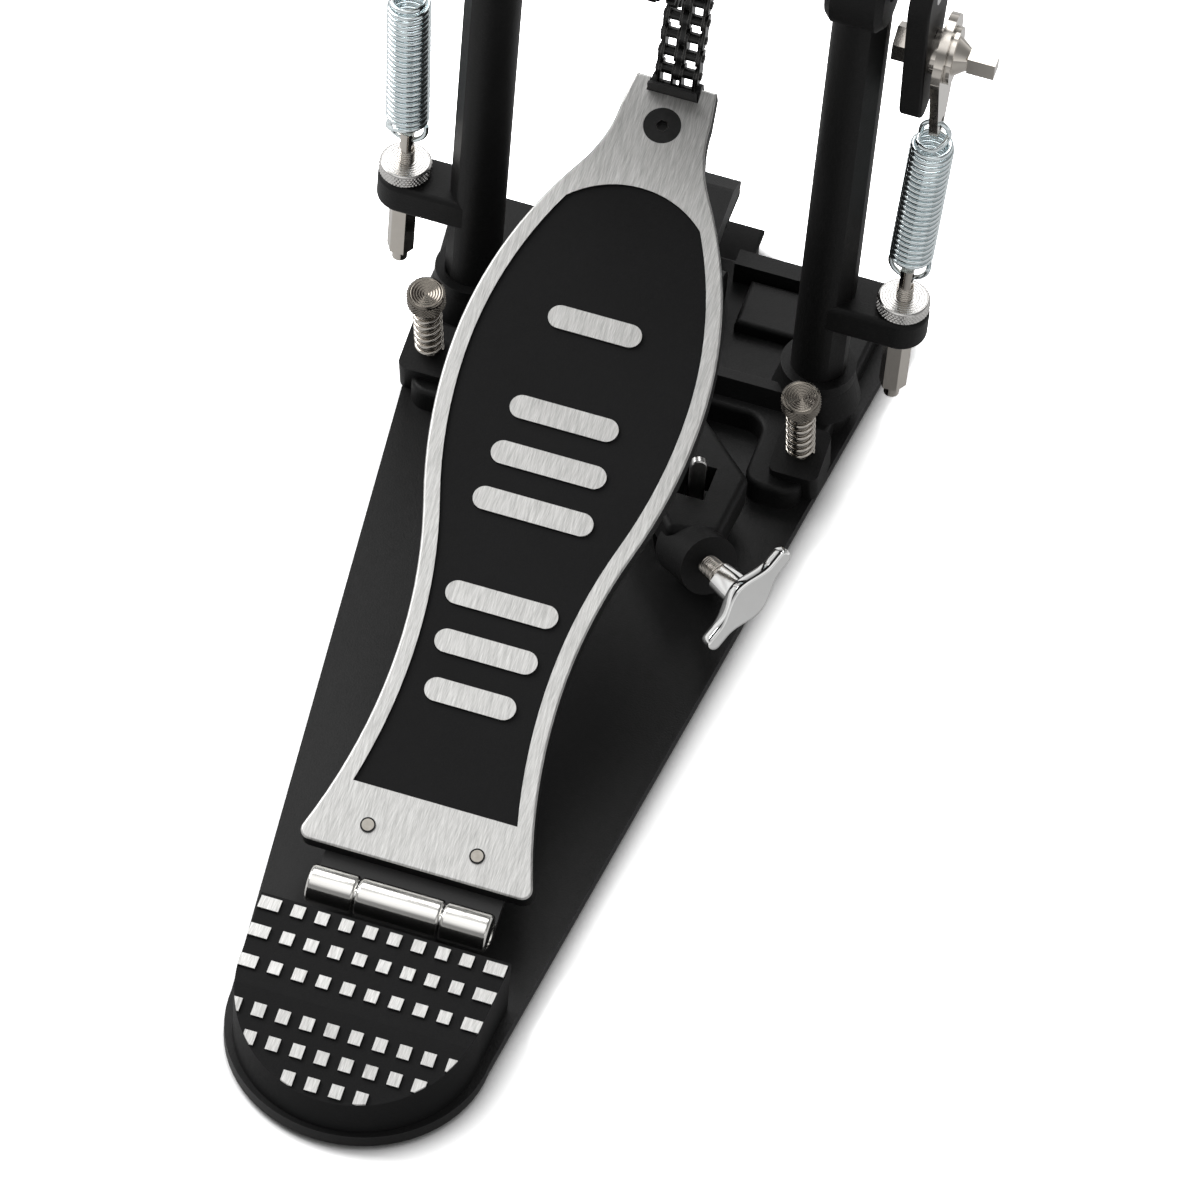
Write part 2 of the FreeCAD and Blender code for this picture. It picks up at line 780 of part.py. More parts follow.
deck = plate("Deck", deck_outline(), size("deck_thickness"), at=(0, 0, BASE_TOP))
soften(deck, size("deck_corner"), upright)
soften(deck, size("deck_edge"), at_height(size("deck_thickness")))
pedestal_parts = [deck]
post_sockets = []
for side, sign in SIDES.items():
    spot = (POST_X * sign, 0, BASE_TOP)
    pedestal_parts.append(cylinder(f"Collar{side}", size("collar_diameter"), size("collar_height"), spot))
    pedestal_parts.append(cone(f"Flare{side}", size("flare_diameter"), size("collar_diameter"),
                               size("flare_height"), (POST_X * sign, 0, DECK_TOP)))
    post_sockets.append(cylinder(f"Socket{side}", size("post_diameter") + size("fixed_fit") * 2,
                                 size("collar_height") + OVER,
                                 (POST_X * sign, 0, BASE_TOP + size("post_foot_gap"))))
    # Ear for the clamp pin, a rounded upright on the deck
    ear_x = (size("ear_span") / 2 - size("ear_thickness") / 2) * sign
    ear_rise = size("clamp_pin_height") - DECK_TOP
    pedestal_parts.append(cylinder(f"Ear{side}", size("ear_diameter"), size("ear_thickness"),
                                   (ear_x - size("ear_thickness") / 2, size("clamp_pin_forward"),
                                    size("clamp_pin_height")), ALONG_X))
    pedestal_parts.append(box(f"EarFoot{side}", size("ear_thickness"), size("ear_diameter"), ear_rise,
                              (ear_x, size("clamp_pin_forward"), DECK_TOP)))
    # Front wall, raised pad and brace between the ear and the post
    wall_in = size("ear_span") / 2
    wall_out = POST_X - size("collar_diameter") / 2
    wall_middle = (wall_in + wall_out) / 2 * sign
    pedestal_parts.append(box(f"FrontWall{side}",
                              wall_out - wall_in, size("wall_thickness"), size("wall_height"),
                              (wall_middle, size("deck_front") - size("wall_thickness"), DECK_TOP)))
    raised = plate(f"RaisedPad{side}", rectangle(size("pocket_pad_length"), size("pocket_pad_width")),
                   size("pocket_pad_height"),
                   at=(size("pocket_pad_across") * sign, size("pocket_pad_forward"), DECK_TOP))
    soften(raised, size("pocket_pad_edge"), at_height(size("pocket_pad_height")))
    pedestal_parts.append(raised)
    brace = plate(f"Brace{side}", [(-size("brace_width") / 2, 0), (size("brace_width") / 2, 0),
                                   (size("brace_top_width") / 2, size("brace_height")),
                                   (-size("brace_top_width") / 2, size("brace_height"))],
                  wall_out - wall_in + size("ear_thickness"), turn=SIDE_VIEW)
    brace_start = wall_in if sign > 0 else -wall_out - size("ear_thickness")
    pedestal_parts.append(place(brace, (brace_start, -size("deck_bay_front") + size("brace_width"), DECK_TOP),
                                SIDE_VIEW))
    # Spur boss, square to the tilted spur screw
    back, up = along_spur(size("spur_boss_drop"))
    boss_length = (up - size("underlay_thickness")) / cosine(size("spur_tilt"))
    boss = plate(f"SpurBoss{side}", rectangle(size("spur_boss_width"), size("spur_boss_depth")), boss_length)
    soften(boss, size("spur_boss_corner"), upright)
    low_back, low_up = along_spur(size("spur_boss_drop") + boss_length)
    pedestal_parts.append(place(boss, (SPUR_X * sign, low_back, low_up), tilt=SPUR_TILT))

casting = fuse("PedestalCasting", pedestal_parts)
pedestal_cuts = post_sockets
pedestal_cuts += [screw_tool(f"PedestalHole{n}", x, y, size("fixed_fit"))
                  for n, (x, y) in enumerate(SCREW_SPOTS) if y.value > -size("deck_rear").value]
pedestal_cuts += [spur_hole(f"BossHole{side}", sign) for side, sign in SIDES.items()]
pedestal_cuts.append(cylinder("ClampPinHole", size("clamp_pin_diameter") + size("fixed_fit") * 2,
                              size("ear_span") + OVER * 2,
                              (-size("ear_span") / 2 - OVER,
                               size("clamp_pin_forward"), size("clamp_pin_height")),
                              ALONG_X))
# The tilted bosses are trimmed level with the underside of the deck.
pedestal_cuts.append(box("FootTrim", size("base_front_width"), size("base_front_width"), BASE_TOP + OVER,
                         (0, 0, -OVER)))
keep(cut("Pedestal", casting, pedestal_cuts), "pedestal")


# Posts with their bearing housings and spring arms

def post(side, sign):
    foot = BASE_TOP + size("post_foot_gap")
    column = cylinder(f"Column{side}", size("post_diameter"), SHAFT_Z - foot, (POST_X * sign, 0, foot))
    # A narrow flat down the outer rear corner of the post
    half = size("post_flat_width") / 2
    radius = size("post_diameter") / 2
    reach = root(radius * radius - half * half)
    turn = size("post_flat_turn")
    flat = box(f"ColumnFlat{side}", size("post_diameter"), size("post_flat_width"), SHAFT_Z)
    corner = ((POST_X + reach * cosine(turn)) * sign - half * sine(turn),
              -(reach * sine(turn)) - half * cosine(turn) * sign, foot)
    place(flat, corner, tilt=(Vector(0, 0, -1), turn if sign > 0 else 180 - turn))
    column = cut(f"FlattedColumn{side}", column, [flat])
    housing_r = size("housing_diameter") / 2
    corner = size("housing_corner")
    width = size("housing_width")
    housing = lathe(f"Housing{side}", [(0, 0), (housing_r - corner, 0), (housing_r, corner),
                                       (housing_r, width - corner), (housing_r - corner, width), (0, width)],
                    (POST_X * sign - width / 2, 0, SHAFT_Z), ALONG_X)
    arm_half = size("spring_arm_width") / 2
    reach_out = size("spring_arm_reach")
    corners = [(0, -arm_half), (reach_out, -arm_half, arm_half), (reach_out + arm_half, 0, arm_half),
               (reach_out, arm_half), (0, arm_half)]
    arm = plate(f"SpringArm{side}", corners, size("spring_arm_height"))
    soften(arm, size("spring_arm_corner"), at_height(dim(0), size("spring_arm_height")))
    arm_turn = Rotation() if sign > 0 else Rotation(Vector(0, 0, 1), 180)
    place(arm, (POST_X * sign, 0, size("spring_arm_top") - size("spring_arm_height")), arm_turn)
    whole = fuse(f"PostCasting{side}", [column, housing, arm])
    seat = size("bearing_diameter") + size("fixed_fit") * 2
    seat_from = POST_X * sign - size("bearing_width") / 2
    inner_end = (POST_X - width / 2 - OVER) * sign
    seat_length = width / 2 + size("bearing_width") / 2 + OVER
    seat_start = inner_end if sign > 0 else seat_from
    bores = [
        cylinder(f"BearingSeat{side}", seat, seat_length, (seat_start, 0, SHAFT_Z), ALONG_X),
        cylinder(f"ShaftWay{side}", size("shaft_way_diameter"), width + OVER * 2,
                 (POST_X * sign - width / 2 - OVER, 0, SHAFT_Z), ALONG_X),
        cylinder(f"RodWay{side}", size("rod_diameter") + size("moving_gap") * 2,
                 size("spring_arm_height") + OVER * 2,
                 (ROD_X * sign, 0, size("spring_arm_top") - size("spring_arm_height") - OVER)),
    ]
    return cut(f"Post{side}", whole, bores)


def bearing(side, sign):
    outer = size("bearing_diameter") / 2
    inner = size("shaft_diameter") / 2 + size("running_fit")
    race = (outer - inner) * BEARING_RACE_SHARE
    width = size("bearing_width")
    step = width * BEARING_STEP_SHARE
    profile = [(inner, 0), (inner + race, 0), (inner + race, step), (outer - race, step), (outer - race, 0),
               (outer, 0), (outer, width), (outer - race, width), (outer - race, width - step),
               (inner + race, width - step), (inner + race, width), (inner, width)]
    return lathe(f"Bearing{side}", profile, (POST_X * sign - width / 2, 0, SHAFT_Z), ALONG_X)


for side, sign in SIDES.items():
    keep(post(side, sign), f"{side}_post")
    keep(bearing(side, sign), f"{side}_bearing")


# Tension rods under the return springs, with a lock nut above the arm and a long hexagon nut below

def tension_rod(side, sign):
    rod = cylinder(f"RodBar{side}", size("rod_diameter"), size("rod_top") - size("rod_foot"),
                   (ROD_X * sign, 0, size("rod_foot")))
    eye = cylinder(f"RodEye{side}", size("rod_eye_diameter"), size("rod_diameter") + OVER * 2,
                   (ROD_X * sign - size("rod_diameter") / 2 - OVER, 0, ROD_EYE_Z), ALONG_X)
    flats = []
    for face in (-1, 1):
        depth = (size("rod_diameter") - size("rod_flat_width")) / 2 + OVER
        offset = (size("rod_flat_width") / 2 + depth / 2) * face
        flats.append(box(f"RodFlat{side}{face}",
                         depth, size("rod_diameter") + OVER, size("rod_flat_length") + OVER,
                         (ROD_X * sign + offset, 0, size("rod_top") - size("rod_flat_length"))))
    return cut(f"Rod{side}", rod, [eye] + flats)


def lock_nut(side, sign):
    bore = size("rod_diameter") / 2 + size("running_fit")
    radius = size("lock_nut_diameter") / 2
    chamfer = size("lock_nut_chamfer")
    height = size("lock_nut_height")
    profile = [(bore, 0), (radius - chamfer, 0), (radius, chamfer), (radius, height - chamfer),
               (radius - chamfer, height), (bore, height)]
    return lathe(f"LockNut{side}", profile,
                 (ROD_X * sign, 0, size("spring_arm_top") + size("running_fit")))


def tension_nut(side, sign):
    top = size("spring_arm_top") - size("spring_arm_height") - size("running_fit")
    bore = size("rod_diameter") + size("running_fit") * 2
    return plate(f"TensionNut{side}", hexagon(size("tension_nut_width")), size("tension_nut_length"),
                 holes=[(0, 0, bore)], at=(ROD_X * sign, 0, top - size("tension_nut_length")))


for side, sign in SIDES.items():
    keep(tension_rod(side, sign), f"{side}_tension_rod")
    keep(lock_nut(side, sign), f"{side}_lock_nut")
    keep(tension_nut(side, sign), f"{side}_tension_nut")


# Wound springs: one unbroken wire along arcs, each pair of arcs half a turn long

def arc_edge(start, heading, end):
    """An arc that leaves start along heading and ends at end, or a straight edge where they agree."""
    chord = end - start
    side = chord - heading * chord.dot(heading)
    if side.Length < chord.Length * 1e-6:
        return Part.LineSegment(start, end).toShape()
    side.normalize()
    radius = chord.dot(chord) / (2 * side.dot(chord))
    centre = start + side * radius
    outward = (start + end) / 2 - centre
    if chord.dot(heading) < 0:
        outward = -outward
    return Part.Arc(start, centre + outward.normalize() * radius, end).toShape()


def biarc(start, heading, end, arrival):
    """Two arcs that join two points along two headings."""
    span = end - start
    both = heading + arrival
    spread = 2 * (1 - heading.dot(arrival))
    reach = span.dot(both)
    if spread < 1e-9:
        length = span.dot(span) / (4 * span.dot(arrival))
    else:
        length = (math.sqrt(reach * reach + spread * span.dot(span)) - reach) / spread
    middle = (start + end + (heading - arrival) * length) / 2
    first = arc_edge(start, heading, middle)
    last_heading = first.tangentAt(first.LastParameter)
    return [first, arc_edge(middle, last_heading, end)]


def wire_path(stations):
    edges = []
    for (start, heading), (end, arrival) in zip(stations, stations[1:]):
        edges += biarc(start, heading, end, arrival)
    return Part.Wire(edges)


def helix_stations(radius_at, height_at, first, last):
    """Points and headings of a winding from one turn to another, every half turn."""
    stations = []

    def spot(turn):
        angle = 2 * math.pi * turn
        return Vector(radius_at(turn) * math.cos(angle), radius_at(turn) * math.sin(angle), height_at(turn))

    for half in range(round(2 * (last - first)) + 1):
        turn = first + half / 2
        stations.append((spot(turn), (spot(turn + TURN_STEP) - spot(turn - TURN_STEP)).normalize()))
    return stations


def wound_wire(stations, diameter):
    path = wire_path(stations)
    start, heading = stations[0]
    ring = Part.Wire(Part.Circle(start, heading, diameter / 2).toShape())
    return path, path.makePipeShell([ring], True, False)


def least_gap(path, diameter):
    """The least free distance between stretches of a wire that lie more than half a turn apart."""
    spots = path.discretize(Distance=diameter / 2)
    best = min(
        (spots[i] - spots[j]).Length
        for i in range(len(spots))
        for j in range(i + SKIPPED_STATION_COUNT, min(i + COMPARED_STATION_COUNT, len(spots)))
    )
    return best - diameter


def return_spring(side, sign):
    """A tension spring with a hook at each end, from the rod's eye up to the rocker's eye."""
    wire = size("spring_wire").value
    radius = (size("spring_diameter").value - wire) / 2
    top_radius = radius * RETURN_TAPER_SHARE
    lean = (ROCKER_IN + ROCKER_OUT).value / 2 - ROD_X.value
    rise = ROCKER_EYE_Z.value - ROD_EYE_Z.value
    length = math.hypot(lean, rise)
    neck = size("spring_hook_neck").value
    low = radius + neck
    high = length - top_radius - neck

    def taper_turn(turn):
        return (turn - RETURN_TURNS) / RETURN_TAPER_TURNS + 1

    def radius_at(turn):
        return radius + (top_radius - radius) * min(max(taper_turn(turn), 0), 1)

    def height_at(turn):
        return low + (high - low) * turn / RETURN_TURNS

    up = Vector(0, 0, 1)
    coil = helix_stations(radius_at, height_at, 0.25, RETURN_TURNS - 0.25)
    stations = [
        (Vector(-radius, 0, radius + wire), -up),
        (Vector(-radius, 0, radius), -up),
        (Vector(0, 0, 0), Vector(1, 0, 0)),
        (Vector(radius, 0, radius), up),
    ]
    stations += coil
    stations += [
        (Vector(top_radius, 0, length - top_radius), up),
        (Vector(0, 0, length), Vector(-1, 0, 0)),
        (Vector(-top_radius, 0, length - top_radius), -up),
        (Vector(-top_radius, 0, length - top_radius - wire), -up),
    ]
    path, shape = wound_wire(stations, wire)
    print(f"{side} return spring: {RETURN_TURNS} turns, least gap {least_gap(path, wire):.2f} mm")
    turn = Rotation(up, 0 if sign > 0 else 180)
    tip = Rotation(Vector(0, 1, 0), math.degrees(math.atan2(lean, rise)) * sign)
    return solid_piece(f"ReturnSpring{side}", shape,
                       Placement(Vector(ROD_X.value * sign, 0, ROD_EYE_Z.value), tip.multiply(turn)))


def spur_spring(side, sign):
    """A compression spring round the spur screw, between the boss and the screw's head."""
    wire = size("spur_spring_wire").value
    radius = (size("spur_spring_diameter").value - wire) / 2
    room = size("moving_gap").value
    free = size("spur_boss_drop").value - size("spur_head_height").value - wire - 2 * room
    stations = helix_stations(lambda turn: radius, lambda turn: free * turn / SPUR_TURNS, 0, SPUR_TURNS)
    first, heading = stations[0]
    last, leaving = stations[-1]
    stations.insert(0, (first - heading * wire, heading))
    stations.append((last + leaving * wire, leaving))
    path, shape = wound_wire(stations, wire)
    print(f"{side} spur spring: {SPUR_TURNS} turns, least gap {least_gap(path, wire):.2f} mm")
    back, up = along_spur(size("spur_boss_drop") - wire / 2 - room)
    return solid_piece(f"SpurSpring{side}", shape,
                       Placement(Vector(SPUR_X.value * sign, back.value, up.value),
                                 Rotation(Vector(1, 0, 0), size("spur_tilt").value)))


def spur_screw(side, sign):
    """A knurled thumb screw that ends in a spike just above the floor."""
    head = size("spur_head_diameter") / 2
    chamfer = size("spur_head_chamfer")
    shank = size("spur_diameter") / 2
    top = (size("spur_head_top") - size("spur_floor_gap")) / cosine(size("spur_tilt"))
    neck = top - size("spur_head_height")
    profile = [(0, 0), (shank, size("spur_tip_length")), (shank, neck), (head - chamfer, neck),
               (head, neck + chamfer), (head, top - chamfer), (head - chamfer, top),
               (head - chamfer - size("spur_head_rim"), top), (0, top - size("spur_head_dish"))]
    back, up = along_spur(top)
    return place(lathe(f"SpurScrew{side}", profile), (SPUR_X * sign, back, up), tilt=SPUR_TILT)


for side, sign in SIDES.items():
    keep(return_spring(side, sign), f"{side}_return_spring")
    keep(spur_spring(side, sign), f"{side}_spur_spring")
    keep(spur_screw(side, sign), f"{side}_spur_screw")


# Footboard, in its own frame: X across, Y along from the heel edge, Z up from the top face

BOARD_TILT = (Vector(1, 0, 0), size("board_slope"))
BOARD_PLACE = (0, -size("board_heel_reach"), size("board_heel_height"))


def on_board(part):
    return place(part, BOARD_PLACE, tilt=BOARD_TILT)


def swell(low, high, low_along, high_along, share):
    """Radii and meeting point of two arcs that swing from one width to another, upright at both ends."""
    rise = (high - low) / 2
    length = high_along - low_along
    both = (length * length + rise * rise) / (2 * rise)
    return both * share, both * (1 - share), low / 2 + rise * share, low_along + length * share


def board_outline():
    length = BOARD_LENGTH
    heel = size("board_heel_width") / 2
    waist = size("board_waist_width") / 2
    broad = size("board_broad_width") / 2
    neck = size("board_neck_width") / 2
    tip = size("board_tip_width") / 2
    waist_y = size("board_waist_along")
    broad_y = size("board_broad_along")
    neck_y = BOARD_LENGTH - size("board_neck_back")
    heel_step = heel - waist
    heel_r = (waist_y * waist_y + heel_step * heel_step) / (2 * heel_step)
    low_r, high_r, mid_x, mid_y = swell(size("board_waist_width"), size("board_broad_width"),
                                        waist_y, broad_y, WAIST_RADIUS_SHARE)
    neck_r, broad_r, far_x, far_y = swell(size("board_neck_width"), size("board_broad_width"),
                                          neck_y, broad_y, NECK_RADIUS_SHARE)
    right = [(heel, 0, -heel_r), (waist, waist_y, -low_r), (mid_x, mid_y, high_r),
             (broad, broad_y, broad_r), (far_x, far_y, -neck_r), (neck, neck_y), (tip, length)]
    left = [(-tip, length), (-neck, neck_y, -neck_r), (-far_x, far_y, broad_r),
            (-broad, broad_y, high_r), (-mid_x, mid_y, -low_r), (-waist, waist_y, -heel_r), (-heel, 0)]
    return right + left


thickness = size("board_thickness")
blank = plate("BoardBlank", board_outline(), thickness, at=(0, 0, -thickness))
board_sketch = blank.Group[0]
soften(blank, size("board_heel_corner"), lambda edge: upright(edge) and edge.Vertexes[0].Y < OVER.value)
soften(blank, size("board_edge"), at_height(thickness))

# The painted field is the outline moved inwards, square at the heel and round towards the toe.
inset = doc.addObject("Part::Offset2D", "FieldOutline")
inset.Source = board_sketch
bind(inset, "Value", -size("board_border"))
field = doc.addObject("Part::Extrusion", "FieldBlank")
field.Base = inset
field.DirMode = "Custom"
field.Dir = Vector(0, 0, 1)
field.Solid = True
bind(field, "LengthFwd", size("board_field_depth") + OVER)
place(field, (0, 0, -size("board_field_depth")))
field_top = BOARD_LENGTH - size("board_field_back") - size("board_field_radius")
field_low = size("board_heel_band")
window = fuse("FieldWindow", [
    box("FieldSquare", size("board_broad_width"), field_top - field_low, thickness,
        (0, (field_top + field_low) / 2, -thickness / 2)),
    cylinder("FieldRound", size("board_field_radius") * 2, thickness, (0, field_top, -thickness / 2)),
])
field_space = doc.addObject("Part::Common", "FieldSpace")
field_space.Base = field
field_space.Tool = window
bars = []
for n, share in enumerate(GRIP_BAR_SHARES):
    if not share:
        continue
    spot = size("grip_bar_first") + size("grip_bar_step") * n
    bars.append(plate(f"GripBar{n}", capsule(size("board_waist_width") * share, size("grip_bar_width")),
                      thickness * 2, at=(0, spot, -thickness)))
field_tool = cut("FieldTool", field_space, bars)

slot = box("TipSlot", size("tip_slot_width"), size("tip_slot_depth") + OVER, thickness + OVER * 2,
           (0, BOARD_LENGTH - size("tip_slot_depth") / 2 + OVER / 2, -thickness - OVER))
rivet_spots = [(size("rivet_span") / 2 * sign, size("rivet_along")) for sign in (-1, 1)]
rivet_low = -thickness - size("hinge_leaf_thickness") - size("rivet_proud")


def rivet(name, across, along, room):
    length = size("rivet_proud") - rivet_low
    return cylinder(name, size("rivet_diameter") + room * 2, length, (across, along, rivet_low))


def chain_screw_tool(name, room):
    """The countersunk screw at the toe, or its hole."""
    shank = size("chain_screw_diameter") / 2 + room
    head = size("chain_screw_head") / 2 + room
    depth = size("chain_screw_head_depth")
    low = thickness + size("anchor_strap_thickness") + size("rivet_proud")
    profile = [(0, -low), (shank, -low), (shank, -depth), (head, -size("chain_screw_rim")), (head, 0), (0, 0)]
    return lathe(name, profile, (0, CHAIN_SCREW_ALONG, 0))


fit = size("fixed_fit")
rivet_holes = [rivet(f"RivetHole{n}", x, y, fit) for n, (x, y) in enumerate(rivet_spots)]
board_tools = [field_tool, slot, chain_screw_tool("ChainScrewHole", fit)] + rivet_holes
board = cut("FootboardLocal", blank, board_tools)
keep(on_board(board), "footboard")

rivets = doc.addObject("Part::Compound", "HingeRivets")
rivets.Links = [rivet(f"Rivet{n}", x, y, dim(0)) for n, (x, y) in enumerate(rivet_spots)]
keep(on_board(rivets), "hinge_rivets")

socket = plate("ChainScrewSocket", hexagon(size("chain_screw_socket")), size("chain_screw_head_depth"),
               at=(0, CHAIN_SCREW_ALONG, -size("chain_screw_socket_depth")))
keep(on_board(cut("ChainScrew", chain_screw_tool("ChainScrewBlank", dim(0)), [socket])), "chain_screw")


# Heel hinge: outer knuckles on the board's leaf, a middle knuckle on a block, one pin

def hinge_in_board():
    """The hinge axis in the board's own frame: along and above."""
    slope = size("board_slope")
    back = size("board_heel_reach") - HINGE_REACH
    up = size("hinge_height") - size("board_heel_height")
    return back * cosine(slope) + up * sine(slope), up * cosine(slope) - back * sine(slope)


hinge_along, hinge_rise = hinge_in_board()
leaf_low = -thickness - size("hinge_leaf_thickness")
leaf = box("LeafPlate",
           size("hinge_width"), size("hinge_leaf_reach") - hinge_along, size("hinge_leaf_thickness"),
           (0, (size("hinge_leaf_reach") + hinge_along) / 2, leaf_low))
leaf_bay = box("LeafBay", size("hinge_centre_width") + size("hinge_knuckle_gap") * 2,
               size("hinge_diameter") + OVER * 2, thickness * 4, (0, hinge_along + OVER, -thickness * 2))
knuckle_length = (size("hinge_width") - size("hinge_centre_width")) / 2 - size("hinge_knuckle_gap")
leaf_parts = [leaf]
for side, sign in SIDES.items():
    start = (size("hinge_centre_width") / 2 + size("hinge_knuckle_gap")) * sign
    low_end = start if sign > 0 else start - knuckle_length
    leaf_parts.append(cylinder(f"Knuckle{side}", size("hinge_diameter"), knuckle_length,
                               (low_end, hinge_along, hinge_rise), ALONG_X))
    leaf_parts.append(box(f"KnuckleWeb{side}",
                          knuckle_length, size("hinge_leaf_thickness") * 2, hinge_rise - leaf_low,
                          (low_end + knuckle_length / 2,
                           hinge_along + size("hinge_leaf_thickness"), leaf_low)))
pin_way = cylinder("BoardPinWay",
                   size("hinge_pin_diameter") + size("running_fit") * 2, size("hinge_width") + OVER * 2,
                   (-size("hinge_width") / 2 - OVER, hinge_along, hinge_rise), ALONG_X)
leaf_holes = [rivet(f"LeafRivetHole{n}", x, y, fit) for n, (x, y) in enumerate(rivet_spots)]
keep(on_board(cut("BoardLeaf", fuse("BoardLeafWhole", leaf_parts), [leaf_bay, pin_way] + leaf_holes)),
     "board_hinge_leaf")

block_height = size("hinge_height") - BASE_TOP
hinge_block = fuse("HeelKnuckleWhole", [
    cylinder("MiddleKnuckle", size("hinge_diameter"), size("hinge_centre_width"),
             (-size("hinge_centre_width") / 2, -HINGE_REACH, size("hinge_height")), ALONG_X),
    box("HingeBlock", size("hinge_centre_width"), size("hinge_block_depth"), block_height,
        (0, -HINGE_REACH, BASE_TOP)),
])
heel_pin_way = cylinder("HeelPinWay", size("hinge_pin_diameter") + fit * 2, size("hinge_width"),
                        (-size("hinge_width") / 2, -HINGE_REACH, size("hinge_height")), ALONG_X)
keep(cut("HeelKnuckle", hinge_block, [heel_pin_way]), "heel_hinge_block")
keep(cylinder("HingePin", size("hinge_pin_diameter"), size("hinge_width"),
              (-size("hinge_width") / 2, -HINGE_REACH, size("hinge_height")), ALONG_X), "hinge_pin")


# Heel plate: a rounded casting whose top falls away to the rear, with rows of raised squares

def heel_outline():
    front = -HEEL_FRONT
    rear = -HEEL_REAR
    wide = size("heel_front_width") / 2
    narrow = size("heel_rear_width") / 2
    return [(wide, front), (-wide, front), (-narrow, rear, narrow), (0, rear - narrow, narrow),
            (narrow, rear)]


heel_rear_end = HEEL_REAR + size("heel_rear_width") / 2
heel_blank = plate("HeelBlank", heel_outline(), size("heel_front_height"), at=(0, 0, BASE_TOP))
heel_side = plate("HeelSide", [
    (-HEEL_FRONT + OVER, 0), (-HEEL_FRONT + OVER, size("heel_front_height")),
    (-HEEL_FRONT, size("heel_front_height")),
    (-HEEL_CREASE, size("heel_crease_height")),
    (-heel_rear_end - OVER, size("heel_rear_height")), (-heel_rear_end - OVER, 0),
], size("heel_front_width") + OVER * 2,
    at=(-size("heel_front_width") / 2 - OVER, 0, BASE_TOP), turn=SIDE_VIEW)
heel_form = doc.addObject("Part::Common", "HeelForm")
heel_form.Base = heel_blank
heel_form.Tool = heel_side


def heel_top(reach):
    """Height of the heel plate's top at that distance behind the posts."""
    front = HEEL_FRONT.value
    crease = HEEL_CREASE.value
    rear = heel_rear_end.value + OVER.value
    if reach < crease:
        share = (reach - front) / (crease - front)
        drop = size("heel_crease_height") - size("heel_front_height")
        return size("heel_front_height").value + share * drop.value
    share = (reach - crease) / (rear - crease)
    drop = size("heel_rear_height") - size("heel_crease_height")
    return size("heel_crease_height").value + share * drop.value


def heel_dots():
    """Raised squares in straight rows, trimmed where the casting's edge comes in."""
    pitch = size("dot_pitch").value
    length = size("dot_length").value
    high = size("dot_height").value
    dots = []
    for row, count in DOT_ROWS.items():
        reach = (HEEL_FRONT + size(row)).value
        slope = math.atan2(heel_top(reach - length / 2) - heel_top(reach + length / 2), length)
        for column in range(count):
            across = (column - (count - 1) / 2) * pitch
            width = size("dot_width").value
            if row in WIDE_ROWS and column in (0, count - 1):
                across += math.copysign((size("dot_end_width").value - width) / 2, across)
                width = size("dot_end_width").value
            dot = Part.makeBox(width, length, 2 * high, Vector(-width / 2, -length / 2, -high))
            dot.Placement = Placement(Vector(across, -reach, BASE_TOP.value + heel_top(reach)),
                                      Rotation(Vector(1, 0, 0), math.degrees(slope)))
            dots.append(dot)
    return dots


dots = doc.addObject("Part::Common", "HeelDotsTrimmed")
dots.Base = solid_piece("HeelDots", Part.makeCompound(heel_dots()))
dots.Tool = plate("HeelDotsRoom", heel_outline(), size("heel_front_height") * 2, at=(0, 0, BASE_TOP))
heel_whole = doc.addObject("Part::Fuse", "HeelWhole")
heel_whole.Base = heel_form
heel_whole.Tool = dots
heel_holes = [screw_tool(f"HeelHole{n}", x, y, fit)
              for n, (x, y) in enumerate(SCREW_SPOTS) if y.value < -size("deck_rear").value]
keep(cut("HeelPlate", heel_whole, heel_holes), "heel_plate")


# Roller chain of two strands. Inner links are plates with rollers, outer links plates with pins.

PLATE = size("chain_plate_thickness").value
STRAND = size("chain_strand_pitch").value / 2
INNER_IN = size("chain_inner_width").value / 2
OUTER_IN = INNER_IN + PLATE + size("chain_plate_gap").value
PIN_REACH = STRAND + OUTER_IN + PLATE + size("chain_plate_gap").value + size("chain_pin_proud").value / 2


def chain_pins():
    """Y and Z of every chain pin, up the straight run and on round the sprocket."""
    anchor = Vector(0, ANCHOR_Y.value, ANCHOR_Z.value)
    centre = Vector(0, 0, SHAFT_Z.value)
    radius = PITCH_RADIUS.value
    to_anchor = anchor - centre
    touch = math.atan2(to_anchor.z, to_anchor.y) + math.acos(radius / to_anchor.Length)
    step = 2 * math.pi / SPROCKET_TEETH

    def on_wheel(n):
        angle = touch + step * n
        return centre + Vector(0, math.cos(angle), math.sin(angle)) * radius

    run = [anchor + (on_wheel(0) - anchor) * (n / RUN_LINKS) for n in range(RUN_LINKS)]
    return run + [on_wheel(n) for n in range(WRAP_LINKS + 1)]


def link_plate(low, high):
    """One waisted link plate between two heights, its pins on X half a pitch each way."""
    half = size("chain_pitch").value / 2
    radius = size("chain_plate_height").value / 2
    waist = size("chain_plate_waist").value / 2
    turn = math.radians(size("chain_plate_wrap").value)
    right = Vector(half + radius * math.cos(turn), radius * math.sin(turn), 0)
    mirror = [Vector(-right.x, right.y, 0), Vector(-right.x, -right.y, 0), Vector(right.x, -right.y, 0)]
    edges = [
        Part.Arc(right, Vector(0, waist, 0), mirror[0]),
        Part.Arc(mirror[0], Vector(-half - radius, 0, 0), mirror[1]),
        Part.Arc(mirror[1], Vector(0, -waist, 0), mirror[2]),
        Part.Arc(mirror[2], Vector(half + radius, 0, 0), right),
    ]
    face = Part.Face(Part.Wire([edge.toShape() for edge in edges]))
    face.translate(Vector(0, 0, low))
    return face.extrude(Vector(0, 0, high - low))


